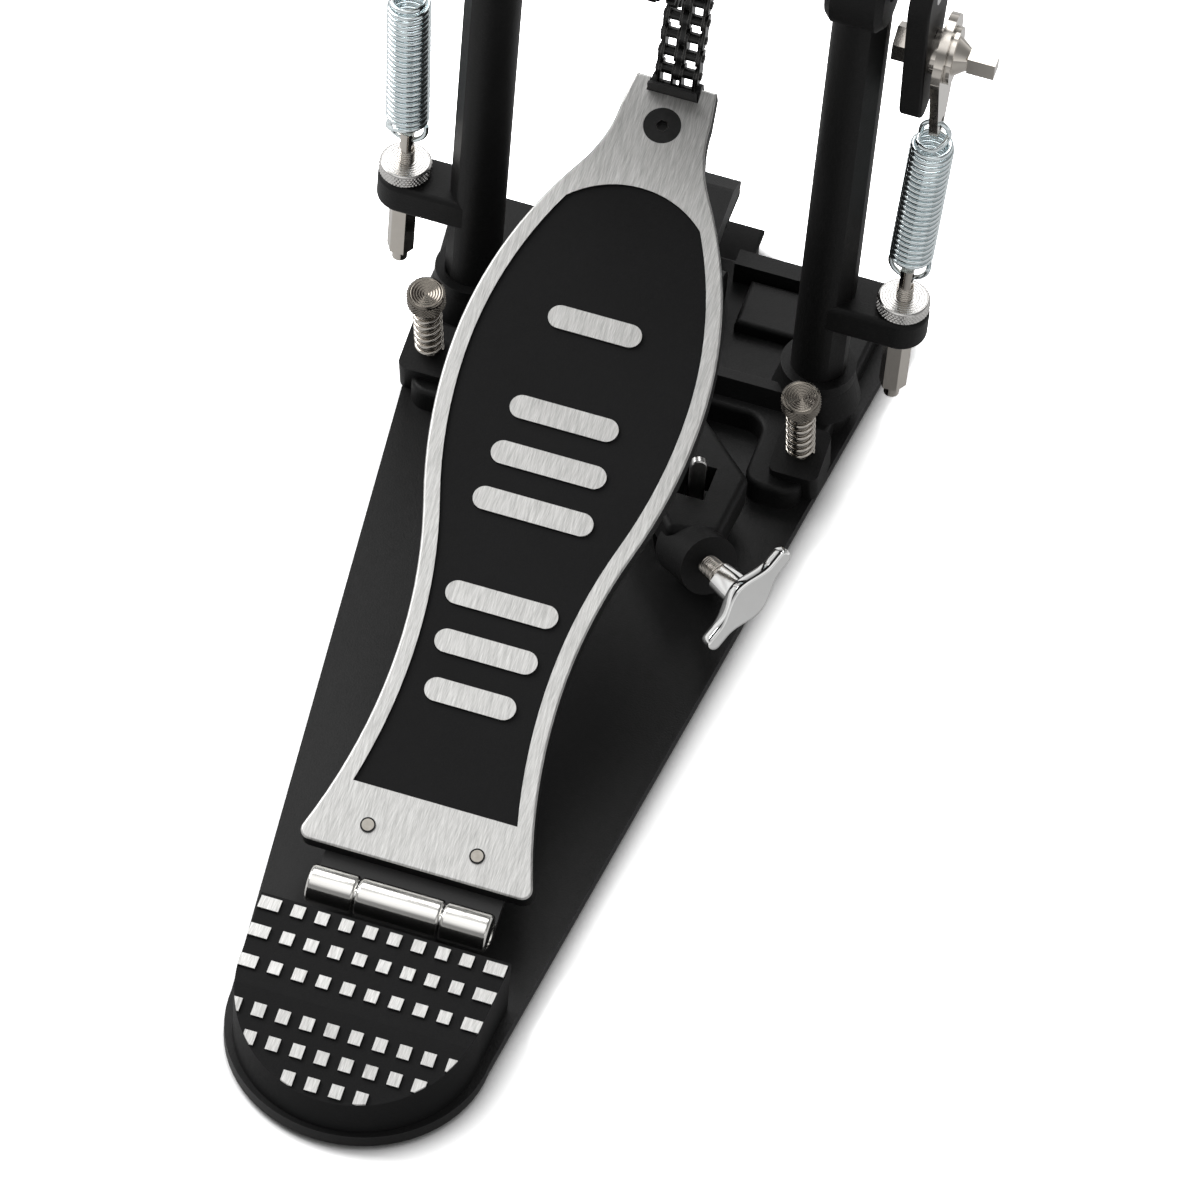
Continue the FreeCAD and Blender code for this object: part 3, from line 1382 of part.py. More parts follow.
def inner_link():
    """Two strands of roller link, as two solids."""
    half = size("chain_pitch").value / 2
    bore = size("chain_pin_diameter").value / 2 + size("running_fit").value
    strands = []
    for middle in (-STRAND, STRAND):
        solid = link_plate(middle - INNER_IN - PLATE, middle - INNER_IN)
        tools = [link_plate(middle + INNER_IN, middle + INNER_IN + PLATE)]
        holes = []
        for across in (-half, half):
            tools.append(Part.makeCylinder(size("chain_roller_diameter").value / 2, 2 * INNER_IN,
                                           Vector(across, 0, middle - INNER_IN)))
            holes.append(Part.makeCylinder(bore, 4 * OUTER_IN, Vector(across, 0, middle - 2 * OUTER_IN)))
        strands.append(solid.fuse(tools).removeSplitter().cut(holes))
    return strands


def outer_link(pin_ends):
    """Outer and middle plates with their pins, as one solid."""
    half = size("chain_pitch").value / 2
    reach = STRAND + OUTER_IN
    between = STRAND - OUTER_IN
    solid = link_plate(-reach - PLATE, -reach)
    tools = [link_plate(-between, between), link_plate(reach, reach + PLATE)]
    for across in pin_ends:
        tools.append(Part.makeCylinder(size("chain_pin_diameter").value / 2, 2 * PIN_REACH,
                                       Vector(across * half, 0, -PIN_REACH)))
    return [solid.fuse(tools).removeSplitter()]


def placed_link(solids, low_pin, high_pin):
    """A link set between two pins: its length along them, its pins along X."""
    along = (high_pin - low_pin).normalize()
    turn = Rotation(along, Vector(0, 0, 0), Vector(1, 0, 0), "ZXY")
    where = Placement((low_pin + high_pin) / 2, turn)
    links = []
    for solid in solids:
        link = solid.copy()
        link.Placement = where
        links.append(link)
    return links


PINS = chain_pins()
INNER = inner_link()
OUTER = outer_link((-1, 1))
# The top link of the straight run leaves its upper pin out: the chain is opened there.
OUTER_OPEN = outer_link((-1,))


def chain_stretch(name, first, last):
    links = []
    for n in range(first, last):
        style = INNER if n % 2 == 0 else OUTER
        if n == RUN_LINKS - 1:
            style = OUTER_OPEN
        links += placed_link(style, PINS[n], PINS[n + 1])
    return solid_piece(name, Part.makeCompound(links))


keep(chain_stretch("ChainRun", 0, RUN_LINKS), "chain_run")
for n, label in enumerate(("chain_link_low", "chain_link_middle", "chain_link_high")):
    keep(chain_stretch(f"ChainLink{n}", RUN_LINKS + n, RUN_LINKS + n + 1), label)
keep(chain_stretch("ChainWrap", RUN_LINKS + FREE_LINKS, RUN_LINKS + WRAP_LINKS), "chain_wrap")

# Anchor under the toe of the board: a strap, two ears and the chain's lowest pin
ear_in = size("chain_strand_pitch") / 2 + size("chain_inner_width") / 2 + size("chain_plate_thickness") \
    + size("chain_plate_gap") * 2
ear_out = ear_in + size("anchor_ear_thickness")
strap_end = BOARD_LENGTH - size("tip_slot_depth") - size("anchor_ear_thickness") / 2
strap = box("AnchorStrap", ear_out * 2, size("anchor_strap_length"), size("anchor_strap_thickness"),
            (0, strap_end - size("anchor_strap_length") / 2, -thickness - size("anchor_strap_thickness")))
anchor_parts = [strap]
for side, sign in SIDES.items():
    ear_x = (ear_in + size("anchor_ear_thickness") / 2) * sign
    anchor_parts.append(cylinder(f"AnchorEar{side}",
                                 size("anchor_ear_diameter"), size("anchor_ear_thickness"),
                                 (ear_x - size("anchor_ear_thickness") / 2, ANCHOR_ALONG,
                                  -size("chain_anchor_drop")), ALONG_X))
    foot_length = ANCHOR_ALONG - strap_end + size("anchor_ear_diameter") / 2 + size("anchor_strap_thickness")
    anchor_parts.append(box(f"AnchorEarFoot{side}", size("anchor_ear_thickness"), foot_length,
                            size("anchor_strap_thickness"),
                            (ear_x, ANCHOR_ALONG + size("anchor_ear_diameter") / 2 - foot_length / 2,
                             -thickness - size("anchor_strap_thickness"))))
    anchor_parts.append(box(f"AnchorEarRise{side}", size("anchor_ear_thickness"), size("anchor_ear_diameter"),
                            thickness + size("anchor_strap_thickness") - size("chain_anchor_drop"),
                            (ear_x, ANCHOR_ALONG, -thickness - size("anchor_strap_thickness"))))
anchor_parts.append(cylinder("AnchorPin", size("chain_pin_diameter"), ear_out * 2,
                             (-ear_out, ANCHOR_ALONG, -size("chain_anchor_drop")), ALONG_X))
anchor_whole = fuse("AnchorWhole", anchor_parts)
keep(on_board(cut("Anchor", anchor_whole, [chain_screw_tool("AnchorScrewHole", fit)])), "chain_anchor")


# Sprocket: two toothed rims on a core and a hub

def toothed_rim(name, start):
    body = doc.addObject("PartDesign::Body", name)
    rim = PITCH_RADIUS * 2 + size("sprocket_tooth_rise") * 2
    sketch = add_sketch(body, name + "_rim", "XY_Plane", [], [(0, 0, rim)])
    pad = body.newObject("PartDesign::Pad", name + "_pad")
    pad.Profile = sketch
    bind(pad, "Length", size("sprocket_tooth_width"))
    doc.recompute()
    seat = add_sketch(body, name + "_seat", "XY_Plane", [],
                      [(PITCH_RADIUS, 0, size("chain_roller_diameter") + size("sprocket_seat_gap") * 2)])
    pocket = body.newObject("PartDesign::Pocket", name + "_pocket")
    pocket.Profile = seat
    pocket.Type = "ThroughAll"
    pocket.Midplane = True
    pattern = body.newObject("PartDesign::PolarPattern", name + "_teeth")
    pattern.Originals = [pocket]
    pattern.Axis = (seat, ["N_Axis"])
    pattern.Angle = 360
    pattern.Occurrences = SPROCKET_TEETH
    body.Tip = pattern
    # The rim turns so that the chain's rollers lie in its seats.
    first = PINS[RUN_LINKS] - Vector(0, 0, SHAFT_Z.value)
    angle = math.degrees(math.atan2(first.z, first.y))
    return place(body, (start, 0, SHAFT_Z), SIDE_VIEW.multiply(Rotation(Vector(0, 0, 1), angle)))


half_tooth = size("sprocket_tooth_width") / 2
rims = [toothed_rim(f"Rim{side}", size("chain_strand_pitch") / 2 * sign - half_tooth)
        for side, sign in SIDES.items()]
core = cylinder("SprocketCore", size("sprocket_core_diameter"), size("sprocket_core_width"),
                (-size("sprocket_core_width") / 2, 0, SHAFT_Z), ALONG_X)
hub_start = -size("sprocket_core_width") / 2
sprocket_hub = cylinder("SprocketHub", size("sprocket_hub_diameter"),
                        BEATER_X - size("hub_width") / 2 - hub_start, (hub_start, 0, SHAFT_Z), ALONG_X)
shaft_bore = size("shaft_diameter") + fit * 2
sprocket_bore = cylinder("SprocketBore", shaft_bore, size("post_spacing"), (-POST_X, 0, SHAFT_Z), ALONG_X)
keep(cut("Sprocket", fuse("SprocketWhole", rims + [core, sprocket_hub]), [sprocket_bore]), "sprocket")


# Shafts: the main one ends in a spigot that turns inside the second beater's hub

spigot_from = -(BEATER_X + size("hub_width") / 2)
spigot_to = -(BEATER_X - size("hub_width") / 2) + size("moving_gap")
main_length = CRANK_OUT - spigot_to
shaft_r = size("shaft_diameter") / 2
spigot_r = size("spigot_diameter") / 2
spigot_length = size("spigot_length")
keep(lathe("MainShaft", [(0, -spigot_length), (spigot_r, -spigot_length), (spigot_r, 0), (shaft_r, 0),
                         (shaft_r, main_length), (0, main_length)],
           (spigot_to, 0, SHAFT_Z), ALONG_X), "main_shaft")
# The second shaft ends in a turned-down stub for the linkage to the other footboard.
stub_r = size("linkage_stub_diameter") / 2
stub_length = size("linkage_stub_length")
second_start = -(CRANK_OUT + size("linkage_shoulder"))
second_length = spigot_from - second_start
keep(lathe("SecondShaft", [(0, -stub_length), (stub_r, -stub_length), (stub_r, 0), (shaft_r, 0),
                           (shaft_r, second_length), (0, second_length)],
           (second_start, 0, SHAFT_Z), ALONG_X), "second_shaft")


# Beater hubs, clamped on the shafts, each with a socket for its beater rod and a square-headed key screw

def beater_hub(side, sign):
    ring = cylinder(f"HubRing{side}", size("hub_diameter"), size("hub_width"),
                    (BEATER_X * sign - size("hub_width") / 2, 0, SHAFT_Z), ALONG_X)
    boss = cylinder(f"HubBoss{side}", size("hub_boss_diameter"), size("hub_boss_length"))
    place(boss, (BEATER_X * sign, 0, SHAFT_Z), tilt=BEATER_TILT)
    bore = cylinder(f"HubBore{side}", shaft_bore, size("hub_width") + OVER * 2,
                    (BEATER_X * sign - size("hub_width") / 2 - OVER, 0, SHAFT_Z), ALONG_X)
    if sign < 0:
        # The second hub's bore is stepped: its own shaft from outside, the main shaft's spigot from inside
        bore = cylinder(f"HubBore{side}", size("spigot_diameter") + size("running_fit") * 2,
                        size("hub_width") + OVER * 2,
                        (BEATER_X * sign - size("hub_width") / 2 - OVER, 0, SHAFT_Z), ALONG_X)
    socket = cylinder(f"HubSocket{side}", size("beater_rod_diameter") + size("running_fit") * 2,
                      size("hub_boss_length"))
    floor = size("hub_socket_floor")
    tilt = size("beater_tilt")
    place(socket, (BEATER_X * sign, -floor * sine(tilt), SHAFT_Z + floor * cosine(tilt)), tilt=BEATER_TILT)
    key_way = key_screw_bar(f"HubKeyWay{side}", sign, fit)
    return cut(f"Hub{side}", fuse(f"HubWhole{side}", [ring, boss]), [bore, socket, key_way])


def key_screw_spot():
    """Y and Z of the key screw, up the beater's boss."""
    along = size("hub_screw_along")
    tilt = size("beater_tilt")
    return -along * sine(tilt), SHAFT_Z + along * cosine(tilt)


def key_screw_bar(name, sign, room):
    along, up = key_screw_spot()
    inner = size("beater_rod_diameter") / 2 + size("running_fit") * 2
    outer = size("hub_boss_diameter") / 2 + size("hub_screw_stand_off")
    start = BEATER_X * sign + inner * sign
    length = outer - inner
    low_end = start if sign > 0 else start - length
    return cylinder(name, size("hub_screw_diameter") + room * 2, length, (low_end, along, up), ALONG_X)


def key_screw(side, sign):
    along, up = key_screw_spot()
    bar = key_screw_bar(f"HubKeyBar{side}", sign, dim(0))
    seat = size("hub_boss_diameter") / 2 + size("hub_screw_stand_off")
    corners = rectangle(size("hub_screw_square"), size("hub_screw_square"))
    head = plate(f"HubKeyHead{side}", corners, size("hub_screw_head"))
    start = BEATER_X * sign + seat * sign if sign > 0 else BEATER_X * sign - seat - size("hub_screw_head")
    place(head, (start, along, up), ALONG_X)
    return fuse(f"HubKey{side}", [bar, head])


def beater_rod(side, sign):
    floor = size("hub_socket_floor") + size("moving_gap")
    tilt = size("beater_tilt")
    rod = cylinder(f"BeaterRod{side}", size("beater_rod_diameter"), size("beater_rod_length"))
    return place(rod, (BEATER_X * sign, -floor * sine(tilt), SHAFT_Z + floor * cosine(tilt)),
                 tilt=BEATER_TILT)


def beater_head(side, sign):
    """A felt head, turned, whose axis lies across the rod."""
    radius = size("beater_head_diameter") / 2
    half = size("beater_head_length") / 2
    corner = size("beater_head_round")
    profile = [(0, -half), (radius - corner, -half, corner), (radius, corner - half),
               (radius, half - corner, corner),
               (radius - corner, half), (0, half)]
    head = lathe(f"HeadBlank{side}", profile)
    centre = size("beater_head_centre")
    tilt = size("beater_tilt")
    place(head, (BEATER_X * sign, -centre * sine(tilt), SHAFT_Z + centre * cosine(tilt)),
          Rotation(Vector(1, 0, 0), size("beater_tilt").value - 90))
    way = cylinder(f"HeadWay{side}", size("beater_rod_diameter") + fit * 2, size("beater_rod_length") * 2)
    place(way, (BEATER_X * sign, 0, SHAFT_Z), tilt=BEATER_TILT)
    return cut(f"Head{side}", head, [way])


for side, sign in SIDES.items():
    keep(beater_hub(side, sign), f"{side}_beater_hub")
    keep(key_screw(side, sign), f"{side}_hub_screw")
    keep(beater_rod(side, sign), f"{side}_beater_rod")
    keep(beater_head(side, sign), f"{side}_beater_head")


# Cranks outside the posts, each with a slot for the rocker's bolt, and the rockers that pull the springs

def crank(side, sign):
    outline = lever_outline(size("crank_hub_diameter"), size("crank_end_diameter"), size("crank_end_drop"))
    arm = plate(f"CrankArm{side}", outline, size("crank_thickness"), holes=[(0, 0, shaft_bore)])
    faces = at_height(dim(0), size("crank_thickness"))
    soften(arm, size("crank_edge"), lambda edge: faces(edge) and len(edge.Vertexes) == 2)
    start = CRANK_IN if sign > 0 else -CRANK_OUT
    place(arm, (start, 0, SHAFT_Z), SIDE_VIEW)
    slot = plate(f"CrankSlot{side}", capsule(size("crank_slot_length"), size("crank_slot_width")),
                 size("crank_thickness") + OVER * 2)
    place(slot, (start - OVER, 0, ROCKER_Z), ALONG_X)
    return cut(f"Crank{side}", arm, [slot])


def rocker(side, sign):
    outline = lever_outline(size("rocker_diameter"), size("rocker_tip_diameter"), size("rocker_tip_drop"))
    holes = [(0, 0, size("rocker_sleeve_diameter") + size("running_fit") * 2),
             (0, -size("rocker_tip_drop"), size("rocker_eye_diameter"))]
    part = plate(f"Rocker{side}", outline, size("rocker_thickness"), holes=holes)
    return place(part, (ROCKER_IN if sign > 0 else -ROCKER_OUT, 0, ROCKER_Z), SIDE_VIEW)


def rocker_bolt(side, sign):
    """The bolt with its sleeve and washers, its square key head, and the nut behind the crank."""
    thread = size("rocker_bolt_diameter") / 2
    collar = size("rocker_collar_diameter") / 2
    cone_low = size("rocker_cone_diameter") / 2
    cone_high = size("rocker_cone_tip_diameter") / 2
    sleeve = size("rocker_sleeve_diameter") / 2
    washer = size("rocker_washer_diameter") / 2
    room = size("running_fit")
    nut_deep = size("rocker_nut_thickness")
    crank_deep = size("crank_thickness")
    gap = size("rocker_gap")
    plate_deep = size("rocker_thickness")
    start = -nut_deep
    face = crank_deep + gap + plate_deep + room
    cone_from = face + size("rocker_washer_thickness")
    cone_to = cone_from + size("rocker_cone_length")
    profile = [(0, start), (thread, start), (thread, crank_deep), (collar, crank_deep),
               (collar, crank_deep + gap - room), (sleeve, crank_deep + gap - room), (sleeve, face),
               (washer, face), (washer, cone_from), (cone_low, cone_from), (cone_high, cone_to), (0, cone_to)]
    turn = ALONG_X if sign > 0 else Rotation(Vector(0, -1, 0), 90)
    origin = (CRANK_IN * sign, 0, ROCKER_Z)
    bar = lathe(f"RockerBoltBar{side}", profile, origin, turn)
    head = plate(f"RockerBoltHead{side}", rectangle(size("rocker_square"), size("rocker_square")),
                 size("rocker_square_length"))
    place(head, ((CRANK_IN + cone_to) * sign, 0, ROCKER_Z), turn)
    bolt = fuse(f"RockerBoltBody{side}", [bar, head])
    nut = plate(f"RockerNut{side}", hexagon(size("rocker_nut_width")), nut_deep,
                holes=[(0, 0, size("rocker_bolt_diameter") + fit * 2)])
    place(nut, ((CRANK_IN - nut_deep) * sign, 0, ROCKER_Z), turn)
    group = doc.addObject("Part::Compound", f"RockerBolt{side}")
    group.Links = [bolt, nut]
    return group


for side, sign in SIDES.items():
    keep(crank(side, sign), f"{side}_crank")
    keep(rocker(side, sign), f"{side}_rocker")
    keep(rocker_bolt(side, sign), f"{side}_rocker_bolt")


# Hoop clamp: a lever on a pin, pushed up at the rear by a wing screw on a sloping ramp

WING_LEFT = size("wing_turn_right")
WING_RISE = size("wing_rise")
# The wing screw's axis, pointing out of the lever: right, back and up
WING_AXIS = (cosine(WING_RISE) * sine(WING_LEFT), -cosine(WING_RISE) * cosine(WING_LEFT), sine(WING_RISE))
WING_ENTRY = (size("wing_entry_across"), -size("wing_entry_back"), size("wing_entry_height"))
WING_TURN = Rotation(Vector(0, 0, 1), WING_LEFT.value)
WING_TURN = WING_TURN.multiply(Rotation(Vector(1, 0, 0), 90 - WING_RISE.value))


def on_wing(part, distance, roll=0):
    """Stand a part on the wing screw's axis, at that distance outside the lever's face."""
    at = [start + heading * distance for start, heading in zip(WING_ENTRY, WING_AXIS)]
    return place(part, at, WING_TURN.multiply(Rotation(Vector(0, 0, 1), roll)))


lever_low = DECK_TOP + size("lever_deck_gap")
lever_half = size("lever_width") / 2
pin_y = size("clamp_pin_forward")
boss_length = size("lever_boss_length")
boss_half = size("lever_boss_diameter") / 2
boss_x = WING_ENTRY[0] - WING_AXIS[0] * boss_length / 2
boss_y = WING_ENTRY[1] - WING_AXIS[1] * boss_length / 2
bend_y = -size("deck_bay_front") - lever_half
shoulder_y = size("guide_slot_length") / 2 - size("guide_back")
flank_out, flank_up, flank_high = LEVER_FLANK_SHARES
lever_beam = plate("LeverBeam", [
    (lever_half, pin_y), (-lever_half, pin_y), (-lever_half, bend_y), (boss_x - boss_half, boss_y),
    (boss_x + boss_half * flank_out, boss_y + boss_half * flank_up),
    (boss_x + boss_half * flank_high, shoulder_y),
    (lever_half, bend_y + lever_half),
], size("lever_thickness"), at=(0, 0, lever_low))
soften(lever_beam, size("lever_corner"), lambda edge: upright(edge) and edge.Vertexes[0].Y < 0)
beam_top = at_height(size("lever_thickness"))
soften(lever_beam, size("lever_edge"),
       lambda edge: beam_top(edge) and edge.BoundBox.YMin < pin_y.value - OVER.value)
eye_from = -size("ear_span") / 2 + size("ear_thickness") + size("moving_gap")
lever_eye = cylinder("LeverEye", size("lever_thickness"), -eye_from * 2,
                     (eye_from, pin_y, size("clamp_pin_height")), ALONG_X)
jaw_y = size("lever_jaw_reach")
jaw_z = BASE_TOP + size("lever_jaw_lift")
jaw_high = size("lever_jaw_height")
jaw_root = pin_y - OVER * 2
lever_jaw = plate("LeverJaw", [
    (jaw_root, lever_low), (jaw_y - size("jaw_pad_length"), jaw_z), (jaw_y, jaw_z),
    (jaw_y, jaw_z + jaw_high / 2),
    (jaw_y - jaw_high, jaw_z + jaw_high), (jaw_root, lever_low + size("lever_thickness")),
], size("lever_width"))
soften(lever_jaw, size("lever_jaw_corner"),
       lambda edge: upright(edge) and edge.Vertexes[0].X > pin_y.value + OVER.value)
place(lever_jaw, (-lever_half, 0, 0), SIDE_VIEW)
lever_boss = on_wing(cylinder("LeverBoss", size("lever_boss_diameter"), boss_length), -boss_length)
lever_whole = fuse("LeverWhole", [lever_beam, lever_eye, lever_jaw, lever_boss], refine=False)

reach_in = size("wing_reach_in")
thread_room = size("wing_thread_diameter") + size("running_fit") * 2
foot_room = size("foot_diameter") + OVER * 2
lever_cuts = [
    on_wing(cylinder("ThreadWay", thread_room, reach_in + OVER), -reach_in),
    on_wing(cylinder("FootWay", foot_room, reach_in), -boss_length - reach_in),
    cylinder("LeverPinWay", size("clamp_pin_diameter") + size("running_fit") * 2, size("ear_span"),
             (-size("ear_span") / 2, pin_y, size("clamp_pin_height")), ALONG_X),
    box("GuideSlot", size("guide_slot_width"), size("guide_slot_length"), size("lever_thickness") + OVER * 2,
        (size("guide_across"), -size("guide_back"), lever_low - OVER)),
]
keep(cut("ClampLever", lever_whole, lever_cuts), "clamp_lever")

jaw_pad = plate("JawPad", rectangle(size("lever_width"), size("jaw_pad_length")), size("jaw_pad_thickness"),
                at=(0, jaw_y - size("jaw_pad_length") / 2, jaw_z - size("jaw_pad_thickness")))
soften(jaw_pad, size("jaw_pad_edge"), at_height(dim(0)))
keep(jaw_pad, "jaw_pad")
keep(cylinder("ClampPin", size("clamp_pin_diameter"), size("ear_span"),
              (-size("ear_span") / 2, pin_y, size("clamp_pin_height")), ALONG_X), "clamp_pin")
keep(cylinder("GuidePost", size("guide_post_diameter"), size("guide_post_height") - BASE_TOP,
              (size("guide_across"), -size("guide_back"), BASE_TOP)), "clamp_guide_post")

# The ramp's face is square to the wing screw, so the screw's foot pushes straight onto it.
ramp_top = -reach_in - size("moving_gap")
ramp_block = on_wing(plate("RampBlock",
                           rectangle(size("ramp_width"), size("ramp_depth") * 2), size("ramp_depth")),
                     ramp_top - size("ramp_depth"))
ramp_space = box("RampSpace", size("base_rear_width") * 2, size("base_rear_width") * 2, size("ramp_height"),
                 (WING_ENTRY[0], WING_ENTRY[1], BASE_TOP))
ramp = doc.addObject("Part::Common", "Ramp")
ramp.Base = ramp_block
ramp.Tool = ramp_space
keep(ramp, "clamp_ramp")

tip_r = size("wing_tip_diameter") / 2
tip_bore = tip_r + size("running_fit")
foot_r = size("foot_diameter") / 2
foot_deep = size("foot_length")
tip_deep = foot_deep / 2
foot = lathe("ScrewFoot", [(0, 0), (size("foot_face_diameter") / 2, 0), (foot_r, size("foot_chamfer")),
                           (foot_r, foot_deep),
                           (tip_bore, foot_deep), (tip_bore, tip_deep), (0, tip_deep)])
keep(on_wing(foot, -reach_in), "screw_foot")

thread_r = size("wing_thread_diameter") / 2
tip_low = tip_deep + size("running_fit")
tip_high = foot_deep + size("running_fit")
hub_low = reach_in + size("wing_stand_off")
hub_high = hub_low + size("wing_hub_length")
hub_r = size("wing_hub_diameter") / 2
rounding = size("wing_edge")
screw_bar = lathe("WingScrewBar", [
    (0, tip_low), (tip_r, tip_low), (tip_r, tip_high), (thread_r, tip_high), (thread_r, hub_low),
    (hub_r - rounding, hub_low), (hub_r, hub_low + rounding), (hub_r, hub_high - rounding),
    (hub_r - rounding, hub_high), (0, hub_high),
])
on_wing(screw_bar, -reach_in)


def wing_outline():
    """A broad middle with hollow flanks and round tips."""
    end = size("wing_span") / 2
    tip = size("wing_tip_width") / 2
    waist = size("wing_waist_width") / 2
    middle = size("wing_waist_length") / 2
    flank = -size("wing_flank_radius")
    return [(end - tip, -tip, tip), (end, 0, tip), (end - tip, tip, flank), (middle, waist),
            (-middle, waist, flank), (tip - end, tip, tip), (-end, 0, tip), (tip - end, -tip, flank),
            (-middle, -waist), (middle, -waist, flank)]


wings = plate("Wings", wing_outline(), size("wing_thickness"))
soften(wings, size("wing_edge"), at_height(dim(0), size("wing_thickness")))
on_wing(wings, size("wing_stand_off") + size("wing_hub_length") - size("wing_thickness") / 2,
        size("wing_roll").value)
keep(fuse("WingScrew", [screw_bar, wings]), "wing_screw")


# Every object is checked before the sub-parts are written.

doc.recompute()
for item in doc.Objects:
    if "Invalid" in item.State or "Error" in item.State:
        raise RuntimeError(f"{item.Name} did not build: {item.State}")
os.makedirs("parts", exist_ok=True)
for piece in pieces:
    if piece.Shape.isNull() or not piece.Shape.isValid():
        raise RuntimeError(f"{piece.Label} has no valid shape")
    piece.Shape.exportStep(f"parts/{piece.Label}.step")
print(f"{len(pieces)} sub-parts; shaft at {SHAFT_Z.value:.3f} mm, "
      f"chain anchor at {ANCHOR_Y.value:.3f}, {ANCHOR_Z.value:.3f}")
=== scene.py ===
# %% [markdown]
# # Dressing a drum pedal
# The measured solids of the pedal come first. They are the fixed frame, in metres, with X across the pedal, Y towards
# the drum and Z up. Everything below either gives a solid its finish or adds a piece that the solids can't show.

# %% Load the measured frame
import json
import math

import bmesh
import bpy
from mathutils import Matrix, Vector, noise


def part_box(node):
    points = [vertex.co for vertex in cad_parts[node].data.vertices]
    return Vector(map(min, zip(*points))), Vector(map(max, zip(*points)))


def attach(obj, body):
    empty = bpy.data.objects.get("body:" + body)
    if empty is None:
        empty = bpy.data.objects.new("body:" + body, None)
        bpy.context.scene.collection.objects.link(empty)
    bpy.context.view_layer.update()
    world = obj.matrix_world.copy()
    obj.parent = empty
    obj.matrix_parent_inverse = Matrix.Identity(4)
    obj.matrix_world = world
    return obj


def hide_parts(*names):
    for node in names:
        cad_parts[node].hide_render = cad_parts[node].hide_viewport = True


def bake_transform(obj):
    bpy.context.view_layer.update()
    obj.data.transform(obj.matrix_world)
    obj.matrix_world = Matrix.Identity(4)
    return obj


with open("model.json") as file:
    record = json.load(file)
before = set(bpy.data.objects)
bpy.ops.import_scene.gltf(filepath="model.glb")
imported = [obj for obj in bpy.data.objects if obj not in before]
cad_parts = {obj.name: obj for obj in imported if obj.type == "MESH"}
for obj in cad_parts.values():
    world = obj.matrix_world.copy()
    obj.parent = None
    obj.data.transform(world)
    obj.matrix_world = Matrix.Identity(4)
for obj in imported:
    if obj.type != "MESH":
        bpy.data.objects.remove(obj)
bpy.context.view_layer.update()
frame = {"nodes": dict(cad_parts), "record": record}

MM = 0.001
SIDES = {"left": -1, "right": 1}

# %% [markdown]
# ## Camera
# A product photographer shoots a pedal from above and from far away with a long lens, so its edges stay nearly
# parallel. The camera is written as angles round the pedal plus a small roll, and turned into a matrix here, because
# that keeps the numbers readable. Its place follows from the aim point and the distance.

# %% Camera above the heel
IMAGE_PIXELS = 1200
FOCAL_PIXELS = 8153.2
SENSOR_WIDTH = 36.0
AZIMUTH, ELEVATION, ROLL = (math.radians(degrees) for degrees in (13.021, 50.037, 5.706))
AIM = Vector((15.2, -87.29, 0)) * MM
DISTANCE = 2363.25 * MM
FAR_CLIP = 20

back = Vector((math.sin(AZIMUTH) * math.cos(ELEVATION), -math.cos(AZIMUTH) * math.cos(ELEVATION),
               math.sin(ELEVATION)))
level = Vector((math.cos(AZIMUTH), math.sin(AZIMUTH), 0))
upward = back.cross(level)
right = level * math.cos(ROLL) + upward * math.sin(ROLL)
up = upward * math.cos(ROLL) - level * math.sin(ROLL)

scene = bpy.context.scene
camera = bpy.data.objects.new("camera", bpy.data.cameras.new("camera"))
scene.collection.objects.link(camera)
camera.data.sensor_width = SENSOR_WIDTH
camera.data.lens = FOCAL_PIXELS / IMAGE_PIXELS * SENSOR_WIDTH
camera.data.clip_end = FAR_CLIP
camera.matrix_world = Matrix.Translation(AIM + back * DISTANCE) @ Matrix((right, up, back)).transposed().to_4x4()
scene.camera = camera
scene.view_settings.view_transform = "Standard"
print(f"lens {camera.data.lens:.1f} mm at {DISTANCE:.2f} m")

# %% [markdown]
# ## Node trees as arithmetic
# A finish or a repeated shape is a tree of nodes. Wiring each one by hand hides the idea, so a small class stands for
# an output socket: adding or multiplying two of them adds the Math node. One method makes every other node.

# %% Sockets that add up
class Value:
    """An output socket of a node tree. Sums and products of it become Math nodes."""

    def __init__(self, tree, socket):
        self.tree = tree
        self.socket = socket

    def output(self, name):
        return Value(self.tree, self.socket.node.outputs[name])

    def math(self, operation, first, second=0.0):
        return self.tree.node("ShaderNodeMath", {"operation": operation}, {0: first, 1: second})

    def __add__(self, other):
        return self.math("ADD", self, other)

    def __sub__(self, other):
        return self.math("SUBTRACT", self, other)

    def __rsub__(self, other):
        return self.math("SUBTRACT", other, self)

    def __mul__(self, other):
        return self.math("MULTIPLY", self, other)

    def __truediv__(self, other):
        return self.math("DIVIDE", self, other)

    def __gt__(self, other):
        return self.math("GREATER_THAN", self, other)

    def __abs__(self):
        return self.math("ABSOLUTE", self)

    __radd__ = __add__
    __rmul__ = __mul__


class Tree:
    """A node tree, of a material, of the world or of a shape."""

    def __init__(self, nodes):
        self.nodes = nodes

    def node(self, kind, settings=None, sockets=None, output=0):
        made = self.nodes.nodes.new(kind)
        for name, value in (settings or {}).items():
            if name == "stops":
                ramp = made.color_ramp.elements
                for stop, (place, colour) in zip([ramp[0], ramp[1]] + [ramp.new(0.5) for _ in value[2:]], value):
                    stop.position = place
                    stop.color = colour
            else:
                setattr(made, name, value)
        for name, value in (sockets or {}).items():
            if isinstance(value, Value):
                self.nodes.links.new(value.socket, made.inputs[name])
            else:
                made.inputs[name].default_value = value
        return Value(self, made.outputs[output]) if len(made.outputs) else None

    def mix(self, mask, low, high):
        return self.node("ShaderNodeMix", {"data_type": "RGBA"}, {0: mask, 6: low, 7: high}, 2)

    def span(self, mask, low, high):
        return low + mask * (high - low)


def grey(level, tint=(1, 1, 1)):
    return (level * tint[0], level * tint[1], level * tint[2], 1)


print("node helpers ready")

